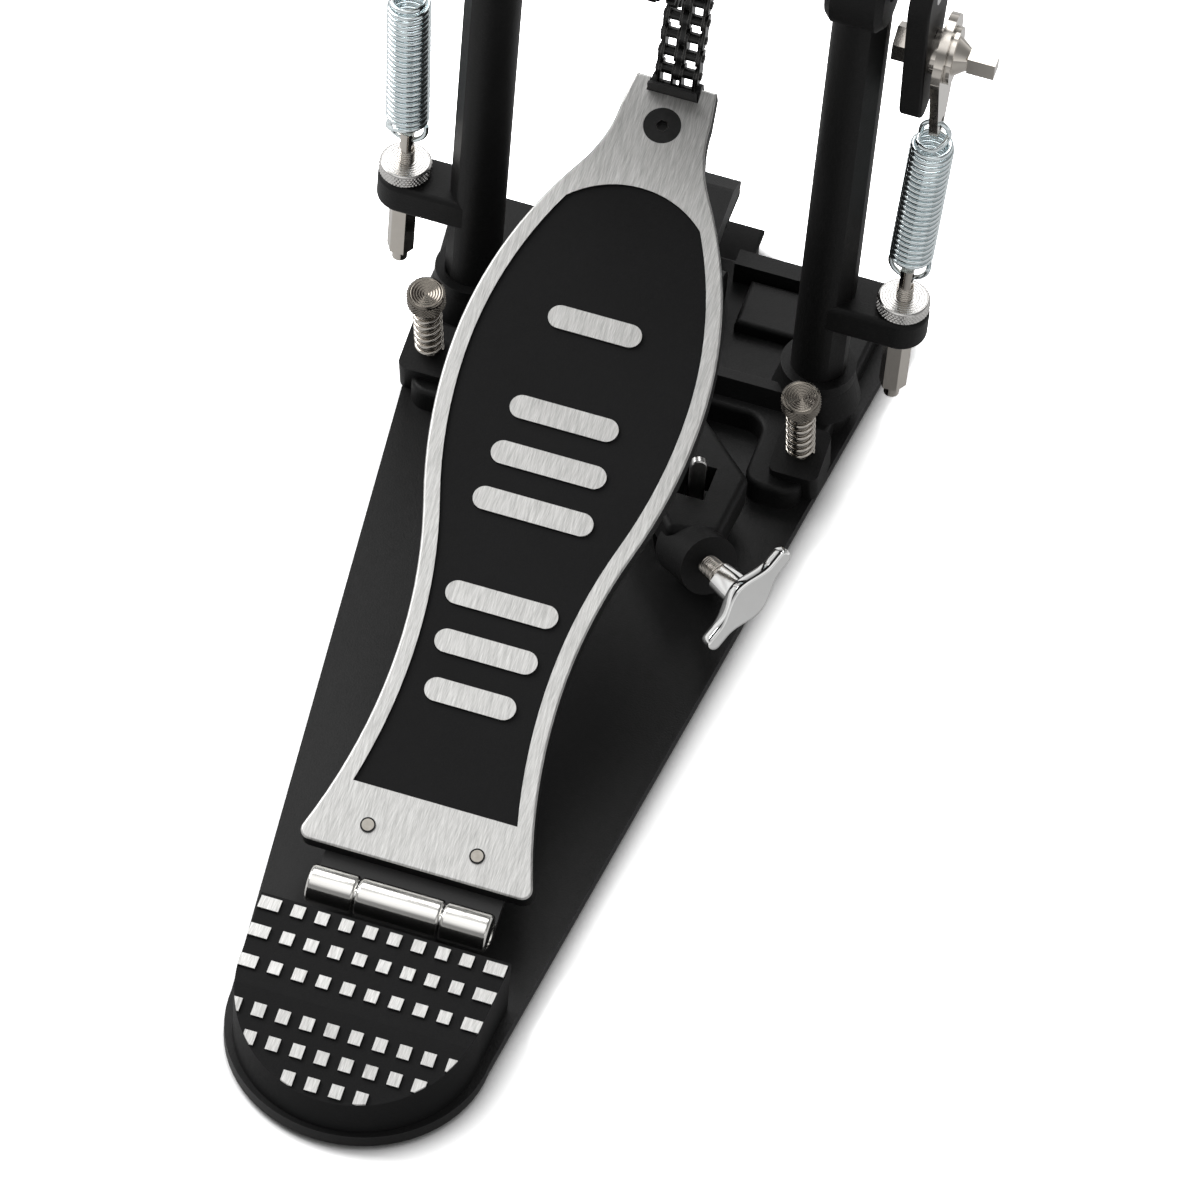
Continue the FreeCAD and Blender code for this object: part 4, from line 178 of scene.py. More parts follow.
# %% [markdown]
# ## A base for every finish
# Each finish reads Object coordinates, which stay fixed to the piece when it moves. Noise gives grain and cloudiness at
# true size: a noise scale of 1 / 0.4 mm has grains of about 0.4 mm.

# %% Finish class
class Finish(Tree):
    """A procedural material."""

    EDGE_GAIN = 3

    def __init__(self, name):
        self.material = bpy.data.materials.new(name)
        self.material.use_nodes = True
        super().__init__(self.material.node_tree)
        self.nodes.nodes.clear()
        self.here = self.node("ShaderNodeTexCoord", output="Object")
        self.x = self.node("ShaderNodeSeparateXYZ", sockets={0: self.here})
        self.y = self.x.output("Y")
        self.z = self.x.output("Z")

    def grain(self, size_mm, detail=3.0, stretch=(1, 1, 1), roughness=0.6, turn=0.0):
        where = self.here
        if stretch != (1, 1, 1):
            angle = (0, 0, math.radians(turn))
            turned = self.node("ShaderNodeMapping", sockets={"Vector": self.here, "Rotation": angle})
            where = self.node("ShaderNodeMapping", sockets={"Vector": turned, "Scale": stretch})
        sockets = {"Vector": where, "Scale": 1 / (size_mm * MM), "Detail": detail, "Roughness": roughness}
        return self.node("ShaderNodeTexNoise", sockets=sockets)

    def edges(self, radius_mm):
        """Near 1 along outer and inner edges, from how far the rounded normal turns from the plain one."""
        rounded = self.node("ShaderNodeBevel", {"samples": 4}, {"Radius": radius_mm * MM})
        plain = self.node("ShaderNodeNewGeometry", output="Normal")
        same = self.node("ShaderNodeVectorMath", {"operation": "DOT_PRODUCT"}, {0: rounded, 1: plain}, "Value")
        return (1 - same) * self.EDGE_GAIN

    def bump(self, height, depth_mm):
        return self.node("ShaderNodeBump", sockets={"Height": height, "Distance": depth_mm * MM})

    def distance_from_axis(self, point_mm, heading):
        """Distance in metres from a line that is mirrored in the plane X = 0."""
        mirrored = self.node("ShaderNodeCombineXYZ", sockets={0: abs(self.x), 1: self.y, 2: self.z})
        shift = [value * MM for value in point_mm]
        arm = self.node("ShaderNodeVectorMath", {"operation": "SUBTRACT"}, {0: mirrored, 1: shift})
        swept = self.node("ShaderNodeVectorMath", {"operation": "CROSS_PRODUCT"}, {0: arm, 1: heading})
        return self.node("ShaderNodeVectorMath", {"operation": "LENGTH"}, {0: swept}, "Value")

    def surface(self, **sockets):
        named = {name.replace("_", " "): value for name, value in sockets.items()}
        shader = self.node("ShaderNodeBsdfPrincipled", sockets=named)
        self.node("ShaderNodeOutputMaterial", sockets={"Surface": shader})
        return self.material


print("finish class ready")

# %% [markdown]
# ## Black coats
# The castings wear a baked powder coat: a fine orange-peel skin, a little thinner and shinier along the edges. The
# base plate's paint is smoother, the rubber underneath is dull. One function covers all of them, because they differ
# only in tone, gloss and grain.

# %% Powder coat, paint and rubber
CLOUD_MM = 38
WEAR_MM = 0.5


def black_coat(name, tone, gloss, grain_mm, depth_mm, edge_tone):
    """A black skin whose grain, cloudiness and edge wear come from noise."""
    coat = Finish(name)
    grain = coat.grain(grain_mm)
    cloud = coat.grain(CLOUD_MM, 5)
    edge = coat.edges(WEAR_MM)
    body = coat.mix(cloud, grey(tone * 0.8, (1, 1, 1.02)), grey(tone * 1.25, (1, 1, 1.02)))
    speck = coat.mix(grain, body, grey(tone * 1.6))
    colour = coat.mix(edge, speck, grey(edge_tone))
    rough = coat.span(cloud * 0.6 + grain * 0.4, *gloss) - edge * 0.06
    return coat.surface(Base_Color=colour, Roughness=rough, Normal=coat.bump(grain, depth_mm), Specular_IOR_Level=0.2)


casting_black = black_coat("casting_powder_coat", 0.006, (0.40, 0.56), 0.6, 0.08, 0.022)
plate_black = black_coat("plate_satin_paint", 0.010, (0.36, 0.50), 0.6, 0.08, 0.030)
rubber_black = black_coat("underlay_rubber", 0.010, (0.68, 0.85), 0.9, 0.10, 0.016)
print("black coats:", casting_black.name, plate_black.name, rubber_black.name)

# %% [markdown]
# ## Board and heel plate
# Both are castings painted black all over and then ground on a belt, so that only the raised parts show bare metal.
# The finish does the same: it measures how high a point stands above the painted ground and brushes what is above it.
# The belt's scratches run along the pedal and cross at a small angle, so two noises are stretched that way.

# %% Ground and painted alloy
BOARD_SLOPE = math.radians(22)
BOARD_HEEL = Vector((0, -218, 24))
BOARD_UP = (0, -math.sin(BOARD_SLOPE), math.cos(BOARD_SLOPE))
HEEL_LINES = ((-242, 26.6, 2.2 / 30), (-272, 24.4, 6.8 / 26.5))
GROUND_LEVEL = 0.4 * MM


def ground_alloy(finish, mask):
    """Bare brushed metal where the mask is 1, grained black paint elsewhere."""
    scratch = finish.grain(1, detail=4, stretch=(3.4, 0.16, 0.16), roughness=0.75, turn=6)
    cross = finish.grain(1, detail=3, stretch=(2.2, 0.10, 0.10), roughness=0.75, turn=-7)
    grain = finish.grain(0.4)
    cloud = finish.grain(30, 4)
    shine = scratch * 0.55 + cross * 0.45
    ramp = {"stops": ((0.32, grey(0.30, (1, 0.99, 0.965))), (0.68, grey(0.68, (1, 0.995, 0.975))))}
    metal = finish.node("ShaderNodeValToRGB", ramp, {"Fac": shine})
    paint = finish.mix(cloud * 0.5 + grain * 0.5, grey(0.005), grey(0.014, (1, 1, 1.04)))
    rough = finish.span(mask, finish.span(grain, 0.46, 0.62), finish.span(shine, 0.36, 0.52))
    height = mask * shine * 0.25 + (1 - mask) * grain
    return finish.surface(Base_Color=finish.mix(mask, paint, metal), Metallic=mask, Roughness=rough,
                          Normal=finish.bump(height, 0.06), Specular_IOR_Level=0.1)


board = Finish("board_ground_alloy")
above, ahead = board.z - BOARD_HEEL.z * MM, board.y - BOARD_HEEL.y * MM
board_rise = above * math.cos(BOARD_SLOPE) - ahead * math.sin(BOARD_SLOPE)
board_finish = ground_alloy(board, board_rise > -GROUND_LEVEL)

heel = Finish("heel_ground_alloy")
tops = [(heel.y - reach * MM) * fall + height * MM for reach, height, fall in HEEL_LINES]
heel_rise = heel.z - tops[0].math("MINIMUM", tops[0], tops[1])
heel_finish = ground_alloy(heel, heel_rise > GROUND_LEVEL)
print("ground finishes:", board_finish.name, heel_finish.name)

# %% [markdown]
# ## Bright metals
# Chrome, nickel, zinc and steel differ in tint and in how blurred they mirror the room. Turned parts also carry
# concentric tool marks, which need the distance from the part's own axis, and that is what the rings below use.

# %% Plated and turned metals
TOOL_MARK = 0.8 * MM


def bright_metal(name, tone, tint, gloss, smear_mm, stretch=(1, 1, 1)):
    """A plated metal with faint smears in its gloss and tint."""
    metal = Finish(name)
    smear = metal.grain(smear_mm, 5, stretch)
    fine = metal.grain(0.35, 2)
    colour = metal.mix(smear, grey(tone * 0.88, tint), grey(tone, tint))
    rough = metal.span(smear * 0.7 + fine * 0.3, *gloss)
    return metal.surface(Base_Color=colour, Metallic=1.0, Roughness=rough, Normal=metal.bump(fine, 0.004))


def turned_metal(name, tone, tint, axis, gloss):
    """A plated metal with tool marks round an axis and its mirror image."""
    metal = Finish(name)
    reach = metal.distance_from_axis(*axis)
    ring = reach.math("SINE", reach * (2 * math.pi / TOOL_MARK)) * 0.5 + 0.5
    smear = metal.grain(4, 4)
    colour = metal.mix(smear, grey(tone * 0.82, tint), grey(tone, tint))
    rough = metal.span(smear * 0.6 + ring * 0.4, *gloss)
    return metal.surface(Base_Color=colour, Metallic=1.0, Roughness=rough, Normal=metal.bump(ring, 0.06))


ROD_AXIS = ((76, 0, 0), (0, 0, 1))
SPUR_LEAN = math.radians(14.5)
SPUR_TOP = (56.9, -37.7, 53.2)
SPUR_AXIS = (SPUR_TOP, (0, -math.sin(SPUR_LEAN), math.cos(SPUR_LEAN)))
chrome = bright_metal("chrome_plate", 0.92, (1, 1, 0.99), (0.03, 0.09), 9)
zinc = bright_metal("zinc_plate", 0.95, (0.92, 1, 1.02), (0.05, 0.14), 3)
steel = bright_metal("bright_steel", 0.62, (1, 0.99, 0.97), (0.20, 0.34), 2, (0.05, 1, 1))
nickel = bright_metal("nickel_plate", 0.66, (1, 0.94, 0.86), (0.06, 0.16), 2.5)
guide_steel = bright_metal("guide_steel", 0.60, (1, 0.99, 0.97), (0.22, 0.38), 2, (1, 1, 0.1))
sleeve_nickel = bright_metal("sleeve_nickel", 0.80, (1, 0.985, 0.945), (0.13, 0.24), 5, (0.2, 1, 1))
nut_nickel = turned_metal("turned_nickel", 0.72, (1, 0.98, 0.955), ROD_AXIS, (0.18, 0.32))
spur_nickel = turned_metal("turned_bronze_nickel", 0.22, (1, 0.91, 0.79), SPUR_AXIS, (0.14, 0.28))
print("metals:", chrome.name, zinc.name, steel.name, nickel.name, nut_nickel.name, spur_nickel.name)

# %% [markdown]
# ## Hinge and rivets
# The hinge leaf is one solid with two finishes: plated where it is rolled round the pin, and near-black where it lies
# flat under the board, which is painted shade for that deep strip. The distance from the pin's axis tells them apart.
# The rivets are warm plated buttons, and the same distance darkens the joint round their edge.

# %% Hinge leaf and rivets
HINGE_AXIS = ((0, -229.3, 20), (1, 0, 0))
HINGE_RADIUS = 5.3 * MM
RIVET_ACROSS, RIVET_ALONG = 16, 8.6
RIVET_FACE = 1.75 * MM

hinge = Finish("hinge_plate_and_paint")
knuckle = 1 - (hinge.distance_from_axis(*HINGE_AXIS) > HINGE_RADIUS)
smear = hinge.grain(6, 5, (0.3, 1, 1))
speck = hinge.grain(0.5, 2)
plated = hinge.mix(smear, grey(0.66, (1, 0.99, 0.96)), grey(0.84, (1, 0.99, 0.97)))
# Away from the pin the leaf is coloured near-black: painted shade for the strip that lies deep under the board.
hinge_plate_and_shade = hinge.surface(
    Base_Color=hinge.mix(knuckle, hinge.mix(speck, grey(0.006), grey(0.014)), plated), Metallic=knuckle,
    Roughness=hinge.span(knuckle, 0.45, hinge.span(smear, 0.06, 0.16)), Normal=hinge.bump(speck, 0.012))

rivet = Finish("rivet_plate")
rivet_foot = (RIVET_ACROSS, BOARD_HEEL.y + RIVET_ALONG * math.cos(BOARD_SLOPE),
              BOARD_HEEL.z + RIVET_ALONG * math.sin(BOARD_SLOPE))
joint = rivet.distance_from_axis(rivet_foot, BOARD_UP) > RIVET_FACE
stain = rivet.grain(1.2, 4)
button = rivet.mix(stain, grey(0.24, (1, 0.93, 0.82)), grey(0.42, (1, 0.95, 0.86)))
rivet_finish = rivet.surface(Base_Color=rivet.mix(joint, button, grey(0.02)), Metallic=1.0,
                             Roughness=rivet.span(stain, 0.22, 0.4), Normal=rivet.bump(stain, 0.03))
print("hinge finishes:", hinge_plate_and_shade.name, rivet_finish.name)

# %% [markdown]
# ## Chain steel
# Roller chain comes blackened. Oil keeps it dark, while the plates' edges and the pin ends rub bright.

# %% Blackened chain steel
def blackened_steel(name, tone, worn_tone):
    """Black oxide that has rubbed off along the edges."""
    metal = Finish(name)
    oil = metal.grain(2.5, 4)
    edge = metal.edges(0.25)
    rubbed = edge * (oil + 0.4)
    colour = metal.mix(rubbed, metal.mix(oil, grey(tone * 0.6), grey(tone * 1.5)), grey(worn_tone, (1, 0.97, 0.92)))
    rough = metal.span(oil, 0.22, 0.42)
    return metal.surface(Base_Color=colour, Metallic=0.75, Roughness=rough, Normal=metal.bump(oil, 0.01))


chain_black = blackened_steel("blackened_chain", 0.035, 0.32)
screw_black = blackened_steel("blackened_screw", 0.022, 0.14)
print("chain finishes:", chain_black.name, screw_black.name)

# %% [markdown]
# ## Felt
# A beater head is pressed wool. Its colour is mottled by single fibres, its surface scatters light at grazing angles,
# and it never shines. The sheen is one number for the whole piece, so it is set on the shader itself.

# %% Pressed felt
def pressed_felt(name):
    felt = Finish(name)
    clump = felt.grain(3.2, 5)
    fibre = felt.grain(0.5, 6, (1, 1, 3), 0.75)
    lint = fibre * 0.6 + clump * 0.4
    colour = felt.mix(lint, (0.33, 0.32, 0.30, 1), (0.74, 0.72, 0.68, 1))
    return felt.surface(Base_Color=colour, Roughness=0.9 + fibre * 0.1, Sheen_Weight=0.35, Sheen_Roughness=0.6,
                        Normal=felt.bump(lint, 0.5))


felt_grey = pressed_felt("pressed_felt")
print("felt:", felt_grey.name)

# %% [markdown]
# ## Finishes onto the solids
# The record names a material slot for every solid, so a table from slot to finish dresses them all. A few solids
# differ from the rest of their slot and are named one by one.

# %% Dress the solids
FINISH_OF_SLOT = {
    "rubber": rubber_black, "black_steel": plate_black, "black_alloy": casting_black, "heel_alloy": heel_finish,
    "board_alloy": board_finish, "zinc": zinc, "nickel": nickel, "steel": steel, "chrome": chrome,
    "chain_steel": chain_black, "felt": felt_grey,
}
FINISH_OF_NODE = {
    "chain_screw": screw_black, "board_hinge_leaf": hinge_plate_and_shade, "left_spur_screw": spur_nickel,
    "right_spur_screw": spur_nickel, "left_lock_nut": nut_nickel, "right_lock_nut": nut_nickel,
    "hinge_rivets": rivet_finish,
}
slot_of = {part["node"]: part["material_slot"] for part in frame["record"]["subparts"]}
for node, solid in frame["nodes"].items():
    solid.data.materials.clear()
    solid.data.materials.append(FINISH_OF_NODE.get(node, FINISH_OF_SLOT[slot_of[node]]))
print("dressed", len(slot_of), "solids")

# %% [markdown]
# ## Geometry Nodes: a wire along a path
# Springs and threads are one round section carried along a line. The line is worked out in Python, and a small
# Geometry Nodes tree sweeps the section along it, so that one tree serves springs and threads alike.

# %% Sweep tree
class Shape(Tree):
    """A Geometry Nodes tree with named inputs."""

    def __init__(self, name, inputs):
        super().__init__(bpy.data.node_groups.new(name, "GeometryNodeTree"))
        self.ports = {}
        ways = self.nodes.interface
        for label, kind in {"Geometry": "NodeSocketGeometry", **inputs}.items():
            self.ports[label] = ways.new_socket(label, in_out="INPUT", socket_type=kind).identifier
        ways.new_socket("Geometry", in_out="OUTPUT", socket_type="NodeSocketGeometry")
        self.start = self.node("NodeGroupInput")

    def take(self, label):
        return self.start.output(label)

    def close(self, geometry, finish):
        real = self.node("GeometryNodeRealizeInstances", sockets={0: geometry})
        dressed = self.node("GeometryNodeSetMaterial", sockets={"Geometry": real, "Material": finish})
        self.node("NodeGroupOutput", sockets={0: dressed})

    def grow(self, name, mesh, **values):
        """A plain mesh object made by this tree from a start mesh."""
        seed = bpy.data.objects.new(name + "_seed", mesh)
        scene.collection.objects.link(seed)
        modifier = seed.modifiers.new("grow", "NODES")
        modifier.node_group = self.nodes
        for label, value in values.items():
            modifier[self.ports[label.replace("_", " ")]] = value
        seen = seed.evaluated_get(bpy.context.evaluated_depsgraph_get())
        plain = bpy.data.meshes.new_from_object(seen)
        bpy.data.objects.remove(seed)
        plain.name = name
        grown = bpy.data.objects.new(name, plain)
        scene.collection.objects.link(grown)
        return grown


sweep = Shape("wire_along_path", {
    "Radius": "NodeSocketFloat", "Sides": "NodeSocketInt", "Finish": "NodeSocketMaterial"})
line = sweep.node("GeometryNodeMeshToCurve", sockets={0: sweep.take("Geometry")})
section = sweep.node("GeometryNodeCurvePrimitiveCircle",
                     sockets={"Resolution": sweep.take("Sides"), "Radius": sweep.take("Radius")})
tube = sweep.node("GeometryNodeCurveToMesh", sockets={"Curve": line, "Profile Curve": section, "Fill Caps": True})
smooth = sweep.node("GeometryNodeSetShadeSmooth", sockets={0: tube})
sweep.close(smooth, sweep.take("Finish"))


def wound_wire(name, stand, winding, radius, sides, finish):
    """A wire along points given in mm in its own frame, which the stand takes to the pedal's."""
    points = [(stand @ point) * MM for point in winding]
    path = bpy.data.meshes.new("wire_path")
    path.from_pydata(points, [(i, i + 1) for i in range(len(points) - 1)], [])
    return sweep.grow(name, path, Radius=radius * MM, Sides=sides, Finish=finish)


print("sweep tree inputs:", list(sweep.ports))

# %% [markdown]
# ## Return springs
# Each tension spring hangs between the rocker's eye above and the threaded rod's eye below. Close turns narrow towards
# the top, and the wire leaves the coil at both ends as a half-round hook.

# %% Wind the return springs
RETURN = {"rod_eye": (76, 73.4), "rocker_eye": (78.5, 139.372), "radius": 5.7, "wire": 1.6, "turns": 24}
RETURN_NECK = 3.0
TOP_SHARE = 0.72
TAPER_TURNS = 1.5
HOOK_TURN = 0.25
TURN_STEPS = 24
WIRE_SIDES = 10


def ease(share):
    return share * share * (3 - 2 * share)


def return_path(lean, height):
    """Points of the wire in the plane of its hooks, upright, with the rod's eye at the origin, in mm."""
    length = math.hypot(lean, height)
    wide, narrow, turns = RETURN["radius"], RETURN["radius"] * TOP_SHARE, RETURN["turns"]
    low, high = wide + RETURN_NECK, length - narrow - RETURN_NECK
    half = [math.pi * i / (TURN_STEPS // 2) for i in range(TURN_STEPS // 2 + 1)]
    points = [Vector((-wide, 0, wide + RETURN["wire"]))]
    points += [Vector((wide * math.cos(math.pi + a), 0, wide + wide * math.sin(math.pi + a))) for a in half]
    for i in range(turns * TURN_STEPS + 1):
        turn = i / TURN_STEPS
        radius = wide + (narrow - wide) * min(max(turn - turns + TAPER_TURNS, 0) / TAPER_TURNS, 1)
        rise = low + (high - low) * turn / turns
        if turn < HOOK_TURN:
            rise = wide + (rise - wide) * ease(turn / HOOK_TURN)
        elif turn > turns - HOOK_TURN:
            rise = length - narrow - (length - narrow - rise) * ease((turns - turn) / HOOK_TURN)
        angle = 2 * math.pi * turn
        points.append(Vector((radius * math.cos(angle), radius * math.sin(angle), rise)))
    points += [Vector((narrow * math.cos(a), 0, length - narrow + narrow * math.sin(a))) for a in half[1:]]
    points.append(Vector((-narrow, 0, length - narrow - RETURN["wire"])))
    return points


for side, sign in SIDES.items():
    foot, top = (Vector((across * sign, 0, height)) for across, height in (RETURN["rod_eye"], RETURN["rocker_eye"]))
    lean, height = (top.x - foot.x) * sign, top.z - foot.z
    turned = Matrix.Rotation(0 if sign > 0 else math.pi, 4, "Z")
    stand = Matrix.Translation(foot) @ Matrix.Rotation(math.atan2(lean, height) * sign, 4, "Y") @ turned
    spring = wound_wire(f"{side}_return_coil", stand, return_path(lean, height), RETURN["wire"] / 2, WIRE_SIDES, zinc)
    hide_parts(f"{side}_return_spring")
    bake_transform(spring)
    print(spring.name, len(spring.data.polygons), "faces")

# %% [markdown]
# ## Spur springs and threads
# Under each spur's head sits a short compression spring round a threaded shank. The same sweep makes the coil and the
# thread, which is a finer wire wound tightly on the shank.

# %% Coils and threads round the spurs
SPUR_COIL = {"foot": -33.6, "length": 26.7, "radius": 3.85, "wire": 1.2, "turns": 7}
SPUR_THREAD = {"radius": 2.5, "from": -36.0, "to": -6.2, "pitch": 0.9, "crest": 0.24}
THREAD_STEPS, THREAD_SIDES = 16, 6


def coil_points(radius, low, high, turns, steps=TURN_STEPS):
    """A plain helix round Z, in mm."""
    count = int(turns * steps)
    angles = [2 * math.pi * turns * i / count for i in range(count + 1)]
    return [Vector((radius * math.cos(a), radius * math.sin(a), low + (high - low) * i / count))
            for i, a in enumerate(angles)]


def thread_ridge(name, stand, thread):
    """A fine wire wound tightly on a shank, as the crest of its thread."""
    turns = (thread["to"] - thread["from"]) / thread["pitch"]
    winding = coil_points(thread["radius"], thread["from"], thread["to"], turns, THREAD_STEPS)
    return wound_wire(name, stand, winding, thread["crest"], THREAD_SIDES, nickel)


def spur_stand(sign):
    """From a spur's own frame, with Z along its shank and the head's top at zero, to the pedal's."""
    x, y, z = SPUR_TOP
    return Matrix.Translation((x * sign, y, z)) @ Matrix.Rotation(SPUR_LEAN, 4, "X")


for side, sign in SIDES.items():
    stand = spur_stand(sign)
    low, high = SPUR_COIL["foot"], SPUR_COIL["foot"] + SPUR_COIL["length"]
    winding = coil_points(SPUR_COIL["radius"], low, high, SPUR_COIL["turns"])
    spring = wound_wire(f"{side}_spur_coil", stand, winding, SPUR_COIL["wire"] / 2, WIRE_SIDES, nickel)
    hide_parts(f"{side}_spur_spring")
    (stand @ Vector((0, 0, low))) * MM
    (stand @ Vector((0, 0, high))) * MM
    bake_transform(spring)
    ridge = thread_ridge(f"{side}_spur_thread", stand, SPUR_THREAD)
    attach(ridge, f"{side}_spur_screw")
    print(spring.name, ridge.name)

# %% [markdown]
# ## Rod and wing threads
# The tension rods are threaded where the lock nut runs, and the wing screw between the lever and its wings.
# A short wire clip is wound over the wing screw's thread, behind its hub.

# %% Threads on the rods and the wing screw
ROD_THREAD = {"radius": 2.3, "from": 51.6, "to": 69.5, "pitch": 0.8, "crest": 0.24}
WING_ENTRY = Vector((45, -82, 22))
WING_AXIS = Vector((0.6209, -0.6612, 0.4210)).normalized()
WING_THREAD = {"radius": 2.95, "from": -14.0, "to": 10.6, "pitch": 1.0, "crest": 0.4}
WING_CLIP = {"radius": 3.85, "from": 8.4, "to": 10.2, "turns": 1.4, "wire": 0.9, "steps": 32, "sides": 8}

for side, sign in SIDES.items():
    stand = Matrix.Translation((ROD_AXIS[0][0] * sign, 0, 0))
    ridge = thread_ridge(f"{side}_rod_thread", stand, ROD_THREAD)
    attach(ridge, f"{side}_tension_rod")

stand = Matrix.Translation(WING_ENTRY) @ WING_AXIS.to_track_quat("Z", "Y").to_matrix().to_4x4()
ridge = thread_ridge("wing_thread", stand, WING_THREAD)
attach(ridge, "wing_screw")

winding = coil_points(WING_CLIP["radius"], WING_CLIP["from"], WING_CLIP["to"], WING_CLIP["turns"], WING_CLIP["steps"])
clip = wound_wire("wing_clip", stand, winding, WING_CLIP["wire"] / 2, WING_CLIP["sides"], nickel)
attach(clip, "wing_screw")
print("wound", ridge.name, clip.name)

# %% [markdown]
# ## Knurled rims
# Lock nuts and spur heads are gripped by a diamond knurl. Real knurling presses two sets of slanted grooves into the
# rim, which leaves small pyramids in offset rows. The tree below sets out those rows round a cylinder and puts one
# four-sided cone on every point.

# %% Knurl tree
TOOTH_OVERLAP = 1.05
knurl = Shape("knurl_rows", {
    "Rim radius": "NodeSocketFloat", "Rim height": "NodeSocketFloat", "Teeth": "NodeSocketInt",
    "Rows": "NodeSocketInt", "Rise": "NodeSocketFloat", "Finish": "NodeSocketMaterial"})
teeth, rows = knurl.take("Teeth"), knurl.take("Rows")
rim, tall = knurl.take("Rim radius"), knurl.take("Rim height")
index = knurl.node("GeometryNodeInputIndex")
row = index.math("FLOOR", index / teeth)
turn = (index - row * teeth + index.math("MODULO", row, 2.0) * 0.5) * (2 * math.pi) / teeth
spot = knurl.node("ShaderNodeCombineXYZ", sockets={
    0: rim * turn.math("COSINE", turn), 1: rim * turn.math("SINE", turn), 2: tall * ((row + 0.5) / rows - 0.5)})
dots = knurl.node("GeometryNodePoints", sockets={"Count": teeth * rows, "Position": spot})
tooth = knurl.node("GeometryNodeMeshCone", {"fill_type": "NONE"}, {
    "Vertices": 4, "Radius Top": 0.0, "Radius Bottom": rim * (math.pi * TOOTH_OVERLAP) / teeth,
    "Depth": knurl.take("Rise")})
tilt = knurl.node("ShaderNodeCombineXYZ", sockets={0: 0.0, 1: math.pi / 2, 2: turn})
facing = knurl.node("FunctionNodeEulerToRotation", sockets={0: tilt})
stood = knurl.node("GeometryNodeInstanceOnPoints", sockets={"Points": dots, "Instance": tooth, "Rotation": facing})
knurl.close(stood, knurl.take("Finish"))


def knurled_rim(name, stand, sizes, finish):
    """Rows of pyramids round a rim. The stand takes the rim's own frame to the pedal's."""
    grip = knurl.grow(name, bpy.data.meshes.new("knurl_start"), Rim_radius=sizes["radius"] * MM,
                      Rim_height=sizes["height"] * MM, Teeth=sizes["teeth"], Rows=sizes["rows"],
                      Rise=sizes["rise"] * MM, Finish=finish)
    grip.data.transform(stand)
    return grip


print("knurl tree inputs:", list(knurl.ports))

# %% [markdown]
# ## Grips on nuts and spurs
# The nut's rim is found from its solid's box. The spur's head leans with its shank, so its grip is tilted with it.

# %% Knurl the nuts and the spur heads
NUT_KNURL = {"radius": 7.58, "height": 3.4, "teeth": 46, "rows": 4, "rise": 0.36}
SPUR_KNURL = {"radius": 5.58, "height": 4.6, "teeth": 38, "rows": 6, "rise": 0.32, "below_top": 3.0}

for side, sign in SIDES.items():
    low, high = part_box(f"{side}_lock_nut")
    nut = knurled_rim(f"{side}_nut_knurl", Matrix.Translation((low + high) / 2), NUT_KNURL, nut_nickel)
    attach(nut, f"{side}_lock_nut")
    centre = spur_stand(sign) @ Vector((0, 0, -SPUR_KNURL["below_top"]))
    stand = Matrix.Translation(centre * MM) @ Matrix.Rotation(SPUR_LEAN, 4, "X")
    head = knurled_rim(f"{side}_spur_knurl", stand, SPUR_KNURL, spur_nickel)
    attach(head, f"{side}_spur_screw")
    print(nut.name, len(nut.data.polygons), head.name, len(head.data.polygons))

# %% [markdown]
# ## Hinge sleeves
# Plated tubes with rounded ends slip over the hinge's knuckles. A turned piece like this is one outline swung round an
# axis, so two short functions lay out rings of points and join them with faces. The middle sleeve stays with the base,
# the outer two swing with the board.

# %% Hinge sleeves
SHARP_ANGLE = math.radians(40)
SLEEVE = {"bore": 4.4, "radius": 5.6, "edge": 1.0}
SLEEVES = {"left_hinge_sleeve": (-26.4, -12.6, "footboard"), "middle_hinge_sleeve": (-12.2, 12.2, "frame"),
           "right_hinge_sleeve": (12.6, 26.4, "footboard")}
QUARTER = [math.radians(degrees) for degrees in range(0, 91, 15)]


def ringed_mesh(name, rings, looped, stand, finish):
    """A smooth closed mesh over rings of points in mm: looped like a tube's wall, or capped at both ends."""
    count = len(rings[0])
    points = [point for ring in rings for point in ring]
    faces = []
    for i in range(len(rings) if looped else len(rings) - 1):
        low, high = i * count, (i + 1) % len(rings) * count
        faces += [(low + k, low + (k + 1) % count, high + (k + 1) % count, high + k) for k in range(count)]
    if not looped:
        faces += [range(count), range(len(points) - count, len(points))]
    mesh = bpy.data.meshes.new(name)
    mesh.from_pydata(points, [], faces)
    work = bmesh.new()
    work.from_mesh(mesh)
    bmesh.ops.recalc_face_normals(work, faces=work.faces)
    work.to_mesh(mesh)
    work.free()
    mesh.transform(Matrix.Scale(MM, 4) @ stand)
    mesh.shade_smooth()
    mesh.set_sharp_from_angle(angle=SHARP_ANGLE)
    mesh.materials.append(finish)
    made = bpy.data.objects.new(name, mesh)
    scene.collection.objects.link(made)
    return made


def round_ring(radius, height, count=72):
    angles = [2 * math.pi * k / count for k in range(count)]
    return [(radius * math.cos(a), radius * math.sin(a), height) for a in angles]


for name, (low, high, body) in SLEEVES.items():
    flat, edge = SLEEVE["radius"] - SLEEVE["edge"], SLEEVE["edge"]
    profile = [(SLEEVE["bore"], low)]
    profile += [(flat + edge * math.sin(a), low + edge - edge * math.cos(a)) for a in QUARTER]
    profile += [(flat + edge * math.cos(a), high - edge + edge * math.sin(a)) for a in QUARTER]
    profile += [(SLEEVE["bore"], high)]
    stand = Matrix.Translation(HINGE_AXIS[0]) @ Matrix.Rotation(math.radians(90), 4, "Y")
    sleeve = ringed_mesh(name, [round_ring(*spot) for spot in profile], True, stand, sleeve_nickel)
    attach(sleeve, body)
    print(name, len(sleeve.data.polygons), "faces")

